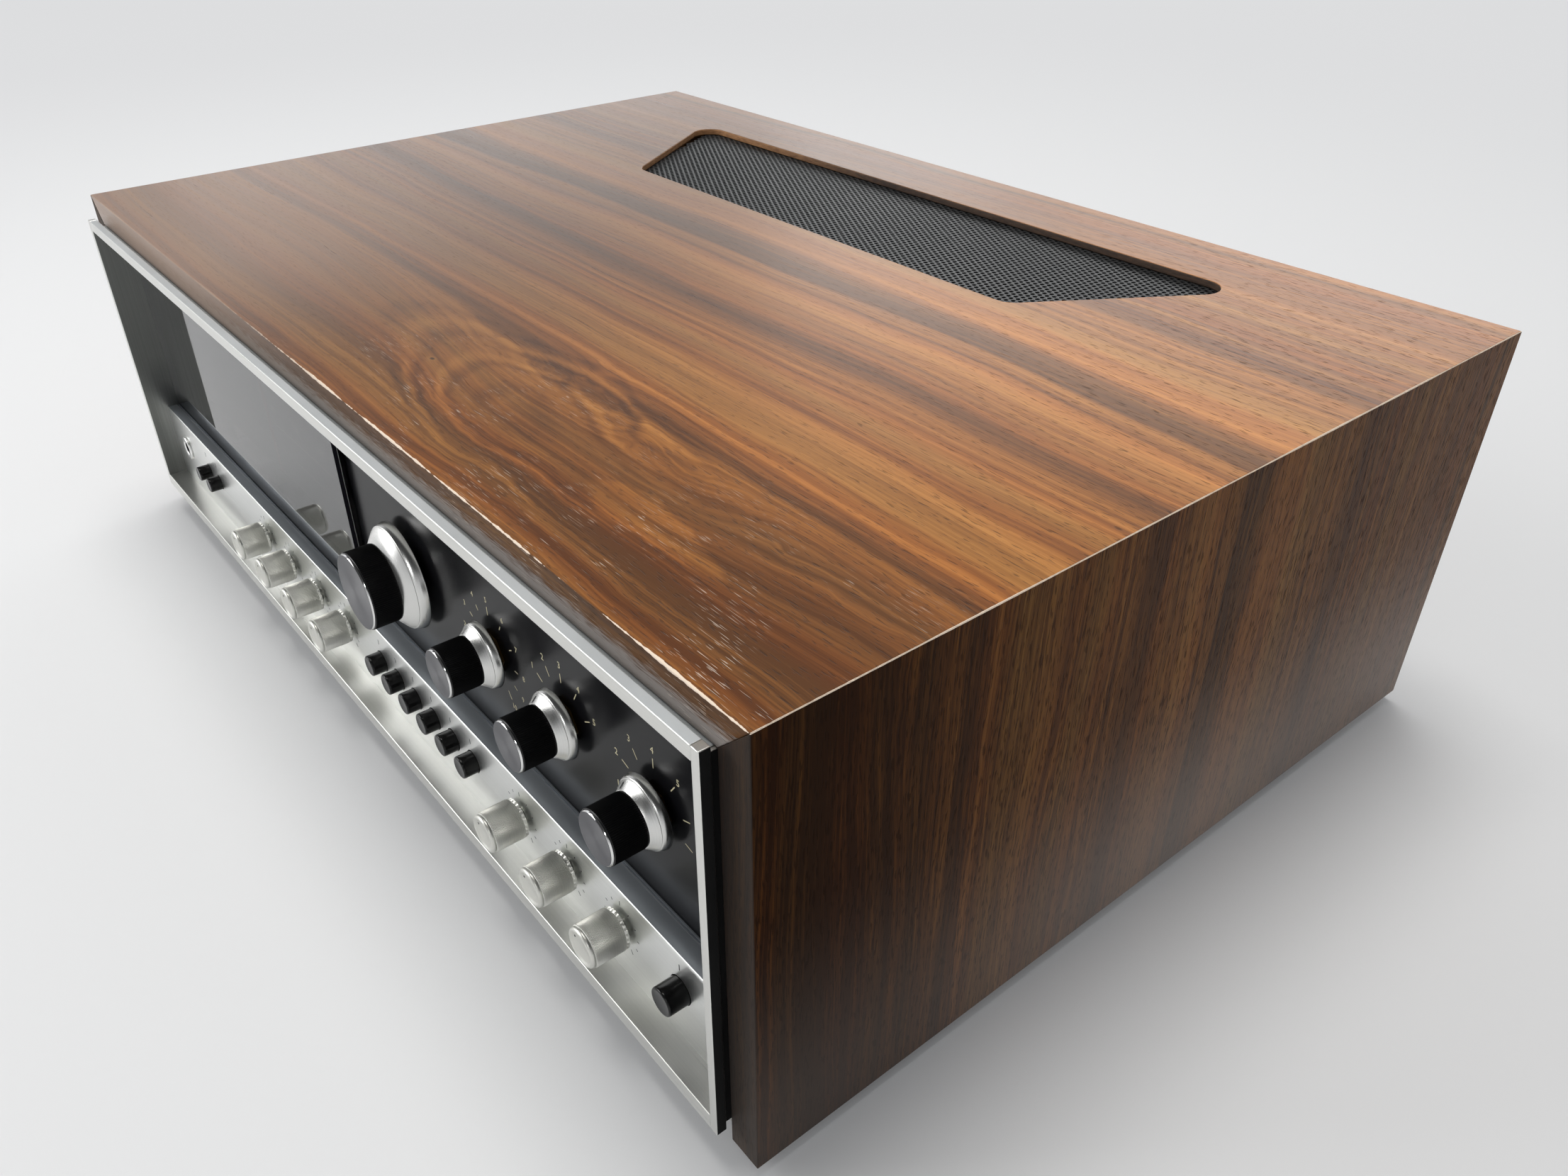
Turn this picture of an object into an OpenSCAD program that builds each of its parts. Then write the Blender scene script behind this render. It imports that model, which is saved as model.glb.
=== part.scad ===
// Four-channel receiver: a mitred wooden cabinet, a framed metal front with
// turned knobs and push buttons, a cord-driven dial and the chassis inside.
// X runs to the right, Y to the back and Z up. The origin lies under the middle
// of the whole object, on the table. All lengths are in millimetres.

/* [Cabinet] */
// Width of the wooden cabinet
cabinet_w = 520; // [505:1:560]
// Depth of the wooden cabinet
cabinet_d = 349; // [340:1:400]
// Height of the wooden cabinet
cabinet_h = 162.4; // [160:0.1:185]
// Thickness of the veneered panels
panel_t = 12; // [10:0.5:13]
// Height of the wood's lower edge above the table
stand_h = 5; // [3:0.5:12]

/* [Vent] */
// Width of the vent opening along its front edge
vent_front_w = 256; // [220:1:300]
// Width of the vent opening along its rear edge
vent_rear_w = 336; // [300:1:380]
// Length of the vent opening from front to back
vent_l = 79; // [60:1:90]
// Width of the wood left behind the vent opening
vent_margin = 40; // [30:1:60]
// Corner radius of the vent opening
vent_r = 9; // [5:0.5:12]
// Depth of the grille below the top of the cabinet
vent_recess = 3; // [2:0.5:6]
// Width of the rebate that holds the grille
rebate_w = 8; // [5:0.5:12]
// Thickness of the grille sheet
grille_t = 1.2; // [0.8:0.1:2]
// Number of slots in the grille sheet
grille_slots = 36; // [20:1:48]
// Width of one slot in the grille sheet
grille_slot_w = 3; // [1.5:0.5:4]

/* [Bezel] */
// Reach of the bezel in front of the wood
bezel_reach = 6.4; // [5:0.1:10]
// Depth of the lip along the bezel's front
lip_d = 3.5; // [2:0.1:4.5]
// Width of the side members' lip
side_lip = 3.2; // [2.5:0.1:6]
// Height of the top member's lip
top_lip = 4.8; // [3:0.1:7]
// Height of the bottom member's lip
bottom_lip = 6.2; // [4:0.1:8]
// Thickness of the webs that run back from the lips
web_t = 1.3; // [1:0.1:2]
// Height of the bezel above the wood's lower edge
bezel_rise = 10.1; // [9:0.1:14]

/* [Front panels] */
// Distance of the lower panel behind the wood's front edge
lower_y = 3; // [2:0.1:5]
// Height of the lower panel
lower_h = 36; // [32:0.5:42]
// Thickness of the lower panel
lower_t = 2; // [1.5:0.1:3]
// Thickness of the ledge above the lower panel
ledge_t = 1.5; // [1:0.1:2.5]
// Distance of the control panel behind the wood's front edge
control_y = 10.8; // [9:0.1:13]
// Thickness of the control panel
control_t = 2; // [1.5:0.1:3]
// Shadow gap between the ledge and the control panel
panel_gap = 0.8; // [0.4:0.1:0.9]
// Thickness of the sheet steel behind the panels
sub_t = 1.5; // [1:0.1:2]

/* [Dial] */
// Place of the dial glass's right edge
glass_right_x = 1.6; // [-4:0.1:4]
// Thickness of the dial glass
glass_t = 2.3; // [2:0.1:4]
// Width of the control panel's edge behind the glass
glass_seat = 7; // [4:0.5:10]
// Width of the dark border round the dial window
dial_border = 14; // [10:1:18]
// Depth of the dial scale behind the sheet steel
scale_depth = 9.7; // [8:0.1:12]
// Thickness of the dial scale
scale_t = 1.2; // [1:0.1:2]
// Width of the pointer
pointer_w = 1.2; // [0.8:0.1:2]

/* [Large knobs] */
// Height of the large knobs above the ledge
knob_rise = 38.7; // [36:0.1:44]
// Place of the tuning knob
tuning_x = 46.8; // [45:0.1:50]
// Place of the volume knob
volume_x = 108.5; // [104:0.1:112]
// Place of the mode knob
mode_x = 154; // [150:0.1:158]
// Place of the selector knob
selector_x = 202.5; // [198:0.1:206]
// Radius of the tuning knob's grip
tuning_r = 14.6; // [12:0.1:16]
// Radius of the tuning knob's skirt
tuning_skirt_r = 20.6; // [18:0.1:22]
// Reach of the tuning knob in front of the control panel
tuning_reach = 21.3; // [18:0.1:26]
// Radius of the other grips
grip_r = 8.8; // [7:0.1:10]
// Radius of the other skirts
skirt_r = 12; // [11:0.1:14]
// Reach of the other large knobs in front of the control panel
grip_reach = 20.1; // [17:0.1:26]
// Gap between a skirt and the control panel
skirt_gap = 2.5; // [2.2:0.1:3]
// Width of the tuning skirt's rim
tuning_rim_w = 3.8; // [2:0.1:5]
// Width of the other skirts' rims
rim_w = 2.8; // [2:0.1:4]
// Length of the tuning skirt's cone
tuning_cone_l = 4; // [2:0.1:5]
// Length of the other skirts' cones
cone_l = 3; // [2:0.1:4]

/* [Lower controls] */
// Height of the lower controls above the lower panel's bottom edge
row_rise = 22; // [16:0.5:24]
// Place of the first small knob on the left
left_knob_x = -109; // [-114:0.5:-104]
// Place of the first small knob on the right
right_knob_x = 128.4; // [124:0.1:132]
// Distance between small knobs
small_pitch = 30.7; // [28:0.1:32]
// Radius of the small knobs
small_r = 7.3; // [6:0.1:9]
// Length of the small knobs
small_l = 14; // [12:0.1:18]
// Gap between a small knob and the lower panel
small_gap = 1; // [0.6:0.1:2]
// Place of the first button in the row of six
row_button_x = 16.4; // [14:0.1:20]
// Distance between buttons
button_pitch = 15.4; // [14:0.1:16]
// Radius of the row's buttons
button_r = 4.3; // [3.5:0.1:5]
// Reach of the row's buttons in front of the lower panel
button_reach = 5.8; // [5:0.1:8]
// Place of the first button of the left pair
pair_button_x = -191; // [-195:0.5:-186]
// Radius of the left pair's buttons
pair_button_r = 3.6; // [3:0.1:5]
// Place of the single button on the right
end_button_x = 221; // [217:0.5:225]
// Radius of the single button
end_button_r = 4.8; // [4:0.1:6]
// Reach of the single button in front of the lower panel
end_button_reach = 7.3; // [6:0.1:9]
// Travel of a button when it is pressed
button_travel = 4; // [2:0.5:4.5]
// Place of the headphone socket
socket_x = -224; // [-230:0.5:-218]
// Bore of the headphone socket, for a plug of 6.35 mm
socket_d = 6.4; // [6.4:0.05:6.6]

/* [Shafts and drive] */
// Radius of the control shafts
shaft_r = 3; // [2.5:0.1:3.5]
// Running clearance of a shaft in its bush
shaft_play = 0.05; // [0.02:0.01:0.1]
// Radius of the brass bushes of the large knobs
bush_r = 4.7; // [4.2:0.1:6]
// Length of a button's stem
stem_l = 16; // [14:0.5:20]
// Radius of a button's stem
stem_r = 1.8; // [1.2:0.1:2.2]
// Place of the tuning drum
drum_x = -20; // [-24:0.5:-14]
// Height of the tuning drum above the ledge
drum_rise = 32.2; // [30:0.1:35]
// Radius of the groove of the tuning drum
drum_groove_r = 44.5; // [40:0.5:46]
// Radius of the collar that winds the dial cord
collar_r = 4; // [3.6:0.1:4.5]
// Thickness of the dial cord
cord_t = 0.8; // [0.5:0.1:1]
// Place of the post at the far end of the dial cord
post_x = -205; // [-212:1:-198]
// Radius of that post
post_r = 8; // [5:0.5:10]
// Radius of the flywheel
flywheel_r = 26; // [20:1:34]
// Radius of the tuning capacitor's vanes
vane_r = 19; // [14:0.5:21]

/* [Chassis] */
// Height of the chassis floor above the wood's lower edge
floor_rise = 6.5; // [5:0.5:8]
// Thickness of the chassis sheet
sheet_t = 1.5; // [1:0.1:2]
// Height of the chassis's side flanges
flange_h = 30; // [20:1:50]
// Depth of the rear panel inside the cabinet's rear edge
rear_inset = 11.5; // [8:0.5:16]
// Diameter of the feet
foot_d = 26; // [18:1:36]
// Distance of the feet from the cabinet's sides
foot_side = 45; // [35:1:70]
// Distance of the feet from the cabinet's front and rear edges
foot_end = 38; // [30:1:60]

/* [Inside] */
// Width of the power transformer
transformer_w = 90; // [70:1:94]
// Depth of the power transformer
transformer_d = 78; // [60:1:84]
// Height of the power transformer
transformer_h = 84; // [60:1:100]
// Radius of the filter capacitors
can_r = 19; // [14:0.5:21]
// Height of the filter capacitors
can_h = 92; // [60:1:110]
// Width of the heat sink
sink_w = 220; // [180:2:226]
// Depth of the heat sink's fins
sink_fin_d = 26; // [16:1:27]
// Height of the heat sink
sink_h = 96; // [70:1:110]
// Number of fins on the heat sink
sink_fins = 20; // [12:1:26]
// Height of the circuit boards above the chassis floor
board_rise = 18; // [10:1:24]
// Thickness of the circuit boards
board_t = 1.6; // [1.2:0.1:2]

/* [Rear fittings] */
// Length of the ferrite rod aerial
aerial_l = 170; // [120:1:190]
// Radius of the ferrite rod aerial
aerial_r = 6; // [4:0.5:7]
// Place of the aerial's hinge
aerial_x = 180; // [150:1:200]
// Height of the aerial above the chassis floor
aerial_rise = 118; // [110:1:122]
// Length of a phono jack
phono_l = 9.5; // [7:0.5:10]
// Distance between phono jacks
phono_pitch = 17; // [15:0.5:20]

/* [Hidden] */
$fn = 48;
hull_fn = 32;

// Spread of the places on the front and the rear with the cabinet's size
nominal_w = 520;
nominal_h = 162.4;
wide = cabinet_w / nominal_w;
tall = cabinet_h / nominal_h;
tuning_cx = tuning_x * wide;
volume_cx = volume_x * wide;
mode_cx = mode_x * wide;
selector_cx = selector_x * wide;
drum_cx = drum_x * wide;
post_cx = post_x * wide;
glass_right_cx = glass_right_x * wide;
socket_cx = socket_x * wide;
aerial_cx = aerial_x * wide;
transformer_span = transformer_w * wide;
sink_span = sink_w * wide;
lower_h_t = lower_h * tall;
row_rise_t = row_rise * tall;
aerial_rise_t = aerial_rise * tall;

// Clearances
fit = 0.1;
slip = 0.3;
bore_play = 0.05;
cut = 1;

// Inside of the cabinet and of the bezel
half_w = cabinet_w / 2;
wood_x = half_w - panel_t;
wood_z = cabinet_h - panel_t;
inner_x = wood_x - fit - web_t;
inner_top = wood_z - fit - web_t;
lip_back = lip_d - bezel_reach;
bezel_top_z = inner_top + top_lip;
lower_z = bezel_rise + bottom_lip;
ledge_z = lower_z + lower_h_t;
ledge_top = ledge_z + ledge_t;
control_z = ledge_top + panel_gap;
nominal_panel_h = 95.2;
high = (inner_top - ledge_top) / nominal_panel_h;
knob_rise_h = knob_rise * high;
drum_rise_h = drum_rise * high;
drum_groove_r_h = drum_groove_r * high;
sub_y = control_y + control_t;
sub_back = sub_y + sub_t;
glass_y = control_y - glass_t;
panel_x = inner_x - fit;

// Chassis and rear
floor_z = floor_rise + sheet_t;
rear_face = cabinet_d - rear_inset;
rear_y = rear_face - sheet_t;
rear_x = wood_x - fit;
floor_front = 1;
floor_back = rear_face;
flange_x = wood_x - sheet_t;
foot_x = half_w - foot_side;
foot_ys = [foot_end, cabinet_d - foot_end];

// Controls
row_z = lower_z + row_rise_t;
knob_z = ledge_top + knob_rise_h;
left_small_xs = [for (i = [0:3]) (left_knob_x + i * small_pitch) * wide];
right_small_xs = [for (i = [0:2]) (right_knob_x + i * small_pitch) * wide];
small_xs = concat(left_small_xs, right_small_xs);
pair_xs = [for (i = [0:1]) (pair_button_x + i * button_pitch) * wide];
row_xs = [for (i = [0:5]) (row_button_x + i * button_pitch) * wide];
end_button_cx = end_button_x * wide;
button_xs = concat(pair_xs, row_xs, [end_button_cx]);
button_rs = concat([for (x = pair_xs) pair_button_r], [for (x = row_xs) button_r], [end_button_r]);
large_xs = [tuning_cx, volume_cx, mode_cx, selector_cx];
skirt_back = control_y - skirt_gap;
small_back = lower_y - small_gap;
small_front = small_back - small_l;
knob_wall = 3;
small_wall = 4;
knob_chamfer = 0.8;
shaft_bore_r = shaft_r + shaft_play;
press_r = shaft_r + bore_play;
nut_t = 1.6;
large_nut_r = 7.5;
small_nut_r = 6;
small_bush_r = 3.9;

// Controls behind the sheet steel
small_pot_r = 8;
small_pot_l = 10.5;
volume_pot_r = 13;
volume_pot_l = 20;
rotary_r = 15;
rotary_l = 34;
wafer_t = 2;
shaft_seat_l = 6;
shaft_end = sub_back + shaft_seat_l;
cap_back = lower_y + lower_t + 1;
switch_l = 26;
switch_h = 14;
switch_margin = 8;
stem_hole_r = stem_r + slip;
stem_end = cap_back + stem_l;
stem_room = 2;

// Dial drive
window_left = -inner_x + dial_border;
window_right = glass_right_cx - dial_border;
window_low = ledge_top + dial_border / 2;
window_edge = 3;
scale_edge = 8;
scale_skirt = 4;
drum_z = ledge_top + drum_rise_h;
drum_rim = 1.5;
drum_r = drum_groove_r_h + drum_rim;
drum_t = 6;
scale_y = sub_back + scale_depth;
scale_back = scale_y + scale_t;
drum_gap = 1.8;
drum_y = scale_back + drum_gap;
cord_y = drum_y + drum_t / 2;
run_z = drum_z + drum_groove_r_h + slip;
post_z = drum_z + drum_groove_r_h - post_r;
pointer_arm_t = 2.2;
pointer_arm_w = 9;
pointer_shift = 7;
scale_top = run_z - 2 * slip - pointer_arm_t;
window_top = scale_top + window_edge;
pointer_gap = 3.8;
pointer_t = 0.8;
pointer_y = scale_y - pointer_gap - pointer_t;
pointer_low = window_low + window_edge;
pointer_x = (post_cx + post_r + drum_cx) / 2 - pointer_shift;
scale_left = window_left - scale_edge;
scale_right = window_right + scale_edge;
collar_l = 5;
flywheel_t = 8;
flywheel_gap = 6;
flywheel_y = cord_y + flywheel_gap;
tuning_bush_end = cord_y - collar_l / 2 - 0.5;
tuning_shaft_end = flywheel_y + flywheel_t + 2;

// Tuning capacitor
cap_gap = 7;
cap_y = drum_y + drum_t + cap_gap;
cap_l = 52;
cap_plate_t = 2;
cap_margin = 5;
cap_half_w = vane_r + cap_margin;
vane_t = 1.2;
vanes = 5;
vane_pitch = (cap_l - 2 * cap_plate_t) / (vanes + 1);
rotor_front = drum_y - 1;
rotor_end = cap_y + cap_l + 1;
hub_r = 6;

// Inside
board_z = floor_z + board_rise;
board_edge = 30;
board_gap = 10;
post_board_r = 3;
sink_base_t = 6;
sink_fin_t = 2;
sink_y = rear_y - sink_fin_d - sink_base_t;
sink_x = 95 * wide;
board_split = (sub_back + sink_y) / 2 + board_gap;
transistor_r = 11;
transistor_l = 7;
transistor_flange_t = 1.5;
transformer_x = -170 * wide;
transformer_gap = 50;
transformer_y = rear_y - transformer_gap - transformer_d;
can_pitch = 46;
can_x = -102 * wide;
can_gap = 40;
can_y = rear_y - can_gap;

// Rear fittings
aerial_z = floor_z + aerial_rise_t;
aerial_gap = 4;
aerial_y = rear_face + aerial_gap + aerial_r;
ear_t = 2;
ear_r = 5;
knuckle_h = 12;
hinge_pin_r = 2;
phono_r = 4.2;
phono_board_t = 1.5;
phono_cols = 4;
phono_block_pitch = 84 * wide;
phono_blocks = [-phono_block_pitch, 0, phono_block_pitch];
phono_z = floor_z + 62 * tall;
terminal_pitch = 45 * wide;
terminal_x = 60 * wide;
terminal_xs = [for (i = [0:3]) terminal_x + i * terminal_pitch];
terminal_z = floor_z + 24 * tall;
aerial_terminal_x = -70 * wide;
aerial_terminal_z = floor_z + 108 * tall;
terminal_w = 40 * wide;
terminal_head_r = 3.4;
terminal_head_l = 2;
terminal_h = 22;
terminal_d = 8;
outlet_xs = [-190 * wide, -142 * wide];
outlet_z = floor_z + 30 * tall;
outlet_w = 34;
outlet_h = 26;
outlet_d = 5;
gland_x = -222 * wide;
gland_z = floor_z + 24 * tall;
fuse_x = -222 * wide;
fuse_z = floor_z + 60 * tall;
gland_r = 8;
fuse_r = 8;
fitting_l = 9;

// Place of the origin
front_most = min(small_front, control_y - tuning_reach, control_y - grip_reach, -bezel_reach);
rear_most = max(cabinet_d, aerial_y + aerial_r, rear_face + phono_board_t + phono_l);
mid_y = (front_most + rear_most) / 2;

// Moves the model so that the origin lies under its middle, on the table
module place() translate([0, -mid_y, stand_h]) children();

// A block between two corners
module block(low, high) translate(low) cube(high - low);

// Turns a shape drawn along Z so that it runs to the back
module to_back(x, y, z) translate([x, y, z]) rotate([-90, 0, 0]) children();

// A round bar that runs to the back
module bar(x, z, y0, y1, r) to_back(x, y0, z) cylinder(h = y1 - y0, r = r);

// A turned shape, from a profile of radius and depth
module turned(x, z, profile) to_back(x, 0, z) rotate_extrude() polygon(profile);

// A section in X and Z, run from front to back
module run_back(y0, y1) translate([0, y1, 0]) rotate([90, 0, 0]) linear_extrude(y1 - y0) children();

// Outline of the vent, grown outwards by a margin
module vent_outline(grow) {
    back = cabinet_d - vent_margin;
    corners = [
        [vent_front_w / 2 - vent_r, back - vent_l + vent_r],
        [vent_rear_w / 2 - vent_r, back - vent_r]
    ];
    hull() for (c = corners) for (s = [-1, 1])
        translate([s * c[0], c[1]]) circle(r = vent_r + grow, $fn = hull_fn);
}

module cabinet_top() {
    lip_z = cabinet_h - vent_recess;
    color("saddlebrown") place() difference() {
        run_back(0, cabinet_d)
            polygon([[-half_w, cabinet_h], [-wood_x, wood_z], [wood_x, wood_z], [half_w, cabinet_h]]);
        translate([0, 0, wood_z - cut]) linear_extrude(panel_t + 2 * cut) vent_outline(0);
        translate([0, 0, wood_z - cut]) linear_extrude(lip_z - wood_z + cut) vent_outline(rebate_w);
    }
}

// Heights and depths of the screws that hold the chassis in the cabinet
case_screw_z = floor_z + flange_h / 2;
case_screw_ys = [foot_end, cabinet_d - foot_end];
screw_r = 1.8;
screw_head_r = 3.6;
screw_head_t = 2.2;
wood_bite = 8;

module cabinet_side(side) {
    color("saddlebrown") place() difference() {
        run_back(0, cabinet_d) polygon([
            [side * half_w, 0], [side * wood_x, 0],
            [side * wood_x, wood_z], [side * half_w, cabinet_h]
        ]);
        for (y = case_screw_ys) translate([side * (wood_x - cut), y, case_screw_z])
            rotate([0, side * 90, 0]) cylinder(h = wood_bite + cut, r = screw_r + bore_play);
    }
}

module cabinet_left_side() cabinet_side(-1);
module cabinet_right_side() cabinet_side(1);

module vent_grille() {
    z = cabinet_h - vent_recess - grille_t;
    pitch = (vent_front_w - 2 * vent_r) / grille_slots;
    low = cabinet_d - vent_margin - vent_l + vent_r;
    color("dimgray") place() difference() {
        translate([0, 0, z]) linear_extrude(grille_t) vent_outline(rebate_w - slip);
        for (i = [0:grille_slots - 1])
            translate([(i + 0.5 - grille_slots / 2) * pitch - grille_slot_w / 2, low, z - cut])
                cube([grille_slot_w, vent_l - 2 * vent_r, grille_t + 2 * cut]);
    }
}

module bezel_top() {
    color("silver") place() {
        block([-inner_x, -bezel_reach, inner_top], [inner_x, lip_back, bezel_top_z]);
        block([-inner_x, lip_back, inner_top], [inner_x, sub_y, inner_top + web_t]);
    }
}

module bezel_bottom() {
    color("silver") place() {
        block([-inner_x, -bezel_reach, bezel_rise], [inner_x, lip_back, lower_z]);
        block([-inner_x, lip_back, lower_z - web_t], [inner_x, sub_y, lower_z]);
    }
}

module bezel_left() {
    color("silver") place() {
        block([-inner_x - side_lip, -bezel_reach, bezel_rise], [-inner_x, lip_back, bezel_top_z]);
        block([-inner_x - web_t, lip_back, bezel_rise], [-inner_x, sub_y, inner_top + web_t]);
    }
}

module bezel_right() {
    color("silver") place() {
        block([inner_x, -bezel_reach, bezel_rise], [inner_x + side_lip, lip_back, bezel_top_z]);
        block([inner_x, lip_back, bezel_rise], [inner_x + web_t, sub_y, inner_top + web_t]);
    }
}

// Barrel and flange of the headphone socket
barrel_r = socket_d / 2 + 1.6;
flange_r = socket_d / 2 + 3;
flange_t = 1.2;
socket_body_w = 2 * barrel_r + 2;
socket_l = 24;

module lower_panel() {
    color("gainsboro") place() difference() {
        block([-panel_x, lower_y, lower_z], [panel_x, lower_y + lower_t, ledge_z]);
        for (x = small_xs) bar(x, row_z, lower_y - cut, lower_y + lower_t + cut, shaft_r + slip);
        for (i = [0:len(button_xs) - 1])
            bar(button_xs[i], row_z, lower_y - cut, lower_y + lower_t + cut, button_rs[i] + slip);
        bar(socket_cx, row_z, lower_y - cut, lower_y + lower_t + cut, barrel_r + bore_play);
    }
}

module ledge_strip() {
    color("slategray") place() block([-panel_x, lower_y, ledge_z], [panel_x, sub_y, ledge_top]);
}

module control_panel() {
    color([0.1, 0.1, 0.1]) place() difference() {
        block([glass_right_cx - glass_seat, control_y, control_z], [panel_x, sub_y, inner_top]);
        for (x = large_xs) bar(x, knob_z, control_y - cut, sub_y + cut, bush_r + fit);
    }
}

module dial_glass() {
    color([0.3, 0.35, 0.4, 0.5]) place()
        block([-panel_x, glass_y, ledge_top], [glass_right_cx, control_y, inner_top]);
}

module front_subpanel() {
    color([0.15, 0.15, 0.15]) place() difference() {
        block([-inner_x, sub_y, floor_z], [inner_x, sub_back, inner_top]);
        block([window_left, sub_y - cut, window_low], [window_right, sub_back + cut, window_top]);
        for (x = large_xs) bar(x, knob_z, sub_y - cut, sub_back + cut, bush_r + fit);
        for (x = small_xs) bar(x, row_z, sub_y - cut, sub_back + cut, small_bush_r + fit);
        for (x = button_xs) bar(x, row_z, sub_y - cut, sub_back + cut, stem_hole_r + slip);
        bar(socket_cx, row_z, sub_y - cut, sub_back + cut, socket_body_w * 0.75);
    }
}

module dial_scale() {
    color("midnightblue") place() {
        block([scale_left, scale_y, window_low - scale_skirt], [scale_right, scale_back, scale_top]);
        for (x = [scale_left, scale_right - scale_t])
            block([x, sub_back, window_low - scale_skirt], [x + scale_t, scale_y, scale_top]);
        bar(post_cx, post_z, scale_back, cord_y + drum_t / 2, post_r);
    }
}

// Lamps that light the dial scale from above
lamp_pitch = (scale_right - scale_left) / 3;
lamp_xs = [for (i = [-1:1]) pointer_x + lamp_pitch * i];
lamp_r = 4;
lamp_l = 30;
lamp_z = inner_top - 2.5 * lamp_r;

module dial_lamps() {
    color("ivory") place() {
        block([scale_left, sub_back, window_top + 1], [scale_right, sub_back + scale_t, inner_top - 1]);
        for (x = lamp_xs) translate([x - lamp_l / 2, sub_back + scale_t + lamp_r - fit, lamp_z])
            rotate([0, 90, 0]) cylinder(h = lamp_l, r = lamp_r);
    }
}

// Outline of the loop that the dial cord runs round, at a distance from its seats
module cord_outline(grow) hull() {
    translate([post_cx, post_z]) circle(r = post_r + grow, $fn = hull_fn);
    translate([drum_cx, drum_z]) circle(r = drum_groove_r_h + grow, $fn = 2 * hull_fn);
    translate([tuning_cx, knob_z]) circle(r = collar_r + grow, $fn = hull_fn);
}

module dial_cord() {
    color("beige") place() run_back(cord_y - cord_t / 2, cord_y + cord_t / 2) difference() {
        cord_outline(slip + cord_t);
        cord_outline(slip);
    }
}

module headphone_socket() {
    color("silver") place() difference() {
        union() {
            bar(socket_cx, row_z, lower_y - flange_t, lower_y, flange_r);
            bar(socket_cx, row_z, lower_y, lower_y + lower_t, barrel_r);
            block([socket_cx - socket_body_w / 2, lower_y + lower_t, row_z - socket_body_w / 2],
                  [socket_cx + socket_body_w / 2, lower_y + lower_t + socket_l,
                        row_z + socket_body_w / 2]);
        }
        bar(socket_cx, row_z, lower_y - flange_t - cut, lower_y + socket_l, socket_d / 2);
    }
}

// A threaded bush with its nut
module bush(x, z, nut_y, back, r, nut_r) {
    difference() {
        union() {
            bar(x, z, nut_y - nut_t, back, r);
            to_back(x, nut_y - nut_t, z) cylinder(h = nut_t, r = nut_r, $fn = 6);
        }
        bar(x, z, nut_y - nut_t - cut, back + cut, shaft_bore_r);
    }
}

module panel_bushes() {
    color("goldenrod") place() {
        bush(tuning_cx, knob_z, control_y, tuning_bush_end, bush_r, large_nut_r);
        for (x = [volume_cx, mode_cx, selector_cx]) bush(x, knob_z, control_y, sub_back, bush_r,
              large_nut_r);
        for (x = small_xs) bush(x, row_z, sub_y, sub_back, small_bush_r, small_nut_r);
    }
}

// Body of a control behind the sheet steel, with a seat for its shaft
module control_body(x, z, r, l) difference() {
    bar(x, z, sub_back, sub_back + l, r);
    bar(x, z, sub_back - cut, shaft_end + stem_room, shaft_bore_r);
}

// Rotary switch: a housing with a stack of wafers behind it
module rotary_switch(x) {
    front_l = rotary_l / 3;
    control_body(x, knob_z, rotary_r * 0.7, front_l);
    bar(x, knob_z, sub_back + front_l, sub_back + rotary_l, rotary_r * 0.3);
    for (i = [1:3]) {
        y = sub_back + front_l + i * (rotary_l - front_l) / 4;
        bar(x, knob_z, y, y + wafer_t, rotary_r);
    }
}

module panel_controls() {
    color("dimgray") place() {
        for (x = small_xs) control_body(x, row_z, small_pot_r, small_pot_l);
        control_body(volume_cx, knob_z, volume_pot_r, volume_pot_l);
        rotary_switch(mode_cx);
        rotary_switch(selector_cx);
    }
}

// Housing of a bank of push switches
module switch_bank(xs) difference() {
    block([xs[0] - switch_margin, sub_back, row_z - switch_h / 2],
          [xs[len(xs) - 1] + switch_margin, sub_back + switch_l, row_z + switch_h / 2]);
    for (x = xs)
        bar(x, row_z, sub_back - cut, stem_end + button_travel + stem_room, stem_hole_r);
}

module push_switches() {
    color("gray") place() {
        switch_bank(pair_xs);
        switch_bank(row_xs);
        switch_bank([end_button_cx]);
    }
}

module tuning_capacitor() {
    color("lightgray") place() difference() {
        union() {
            for (y = [cap_y, cap_y + cap_l - cap_plate_t])
                block([drum_cx - cap_half_w, y, floor_z],
                      [drum_cx + cap_half_w, y + cap_plate_t, drum_z + cap_half_w]);
            block([drum_cx - cap_half_w, cap_y, floor_z],
                  [drum_cx + cap_half_w, cap_y + cap_l, floor_z + cap_plate_t]);
            block([drum_cx - cap_half_w, cap_y, drum_z - vane_r],
                  [drum_cx - cap_half_w + cap_plate_t, cap_y + cap_l, drum_z + vane_r]);
            for (i = [0:vanes]) {
                y = cap_y + cap_plate_t + (i + 0.5) * vane_pitch - vane_t / 2;
                block([drum_cx - cap_half_w, y, drum_z - vane_r],
                      [drum_cx - hub_r - 1, y + vane_t, drum_z + vane_r]);
            }
        }
        bar(drum_cx, drum_z, cap_y - cut, cap_y + cap_l + cut, shaft_bore_r);
    }
}

// Places of the feet and of the rear panel's screws
screw_inset = 10;
foot_places = [for (x = [-foot_x, foot_x]) for (y = foot_ys) [x, y]];
rear_screws = concat(
    [for (x = [-1, 1]) for (z = [floor_z + screw_inset, wood_z - screw_inset])
        [x * (wood_x - screw_inset), z]],
    [for (x = [-1, 1]) [x * wood_x / 3, wood_z - screw_inset]]
);

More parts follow.
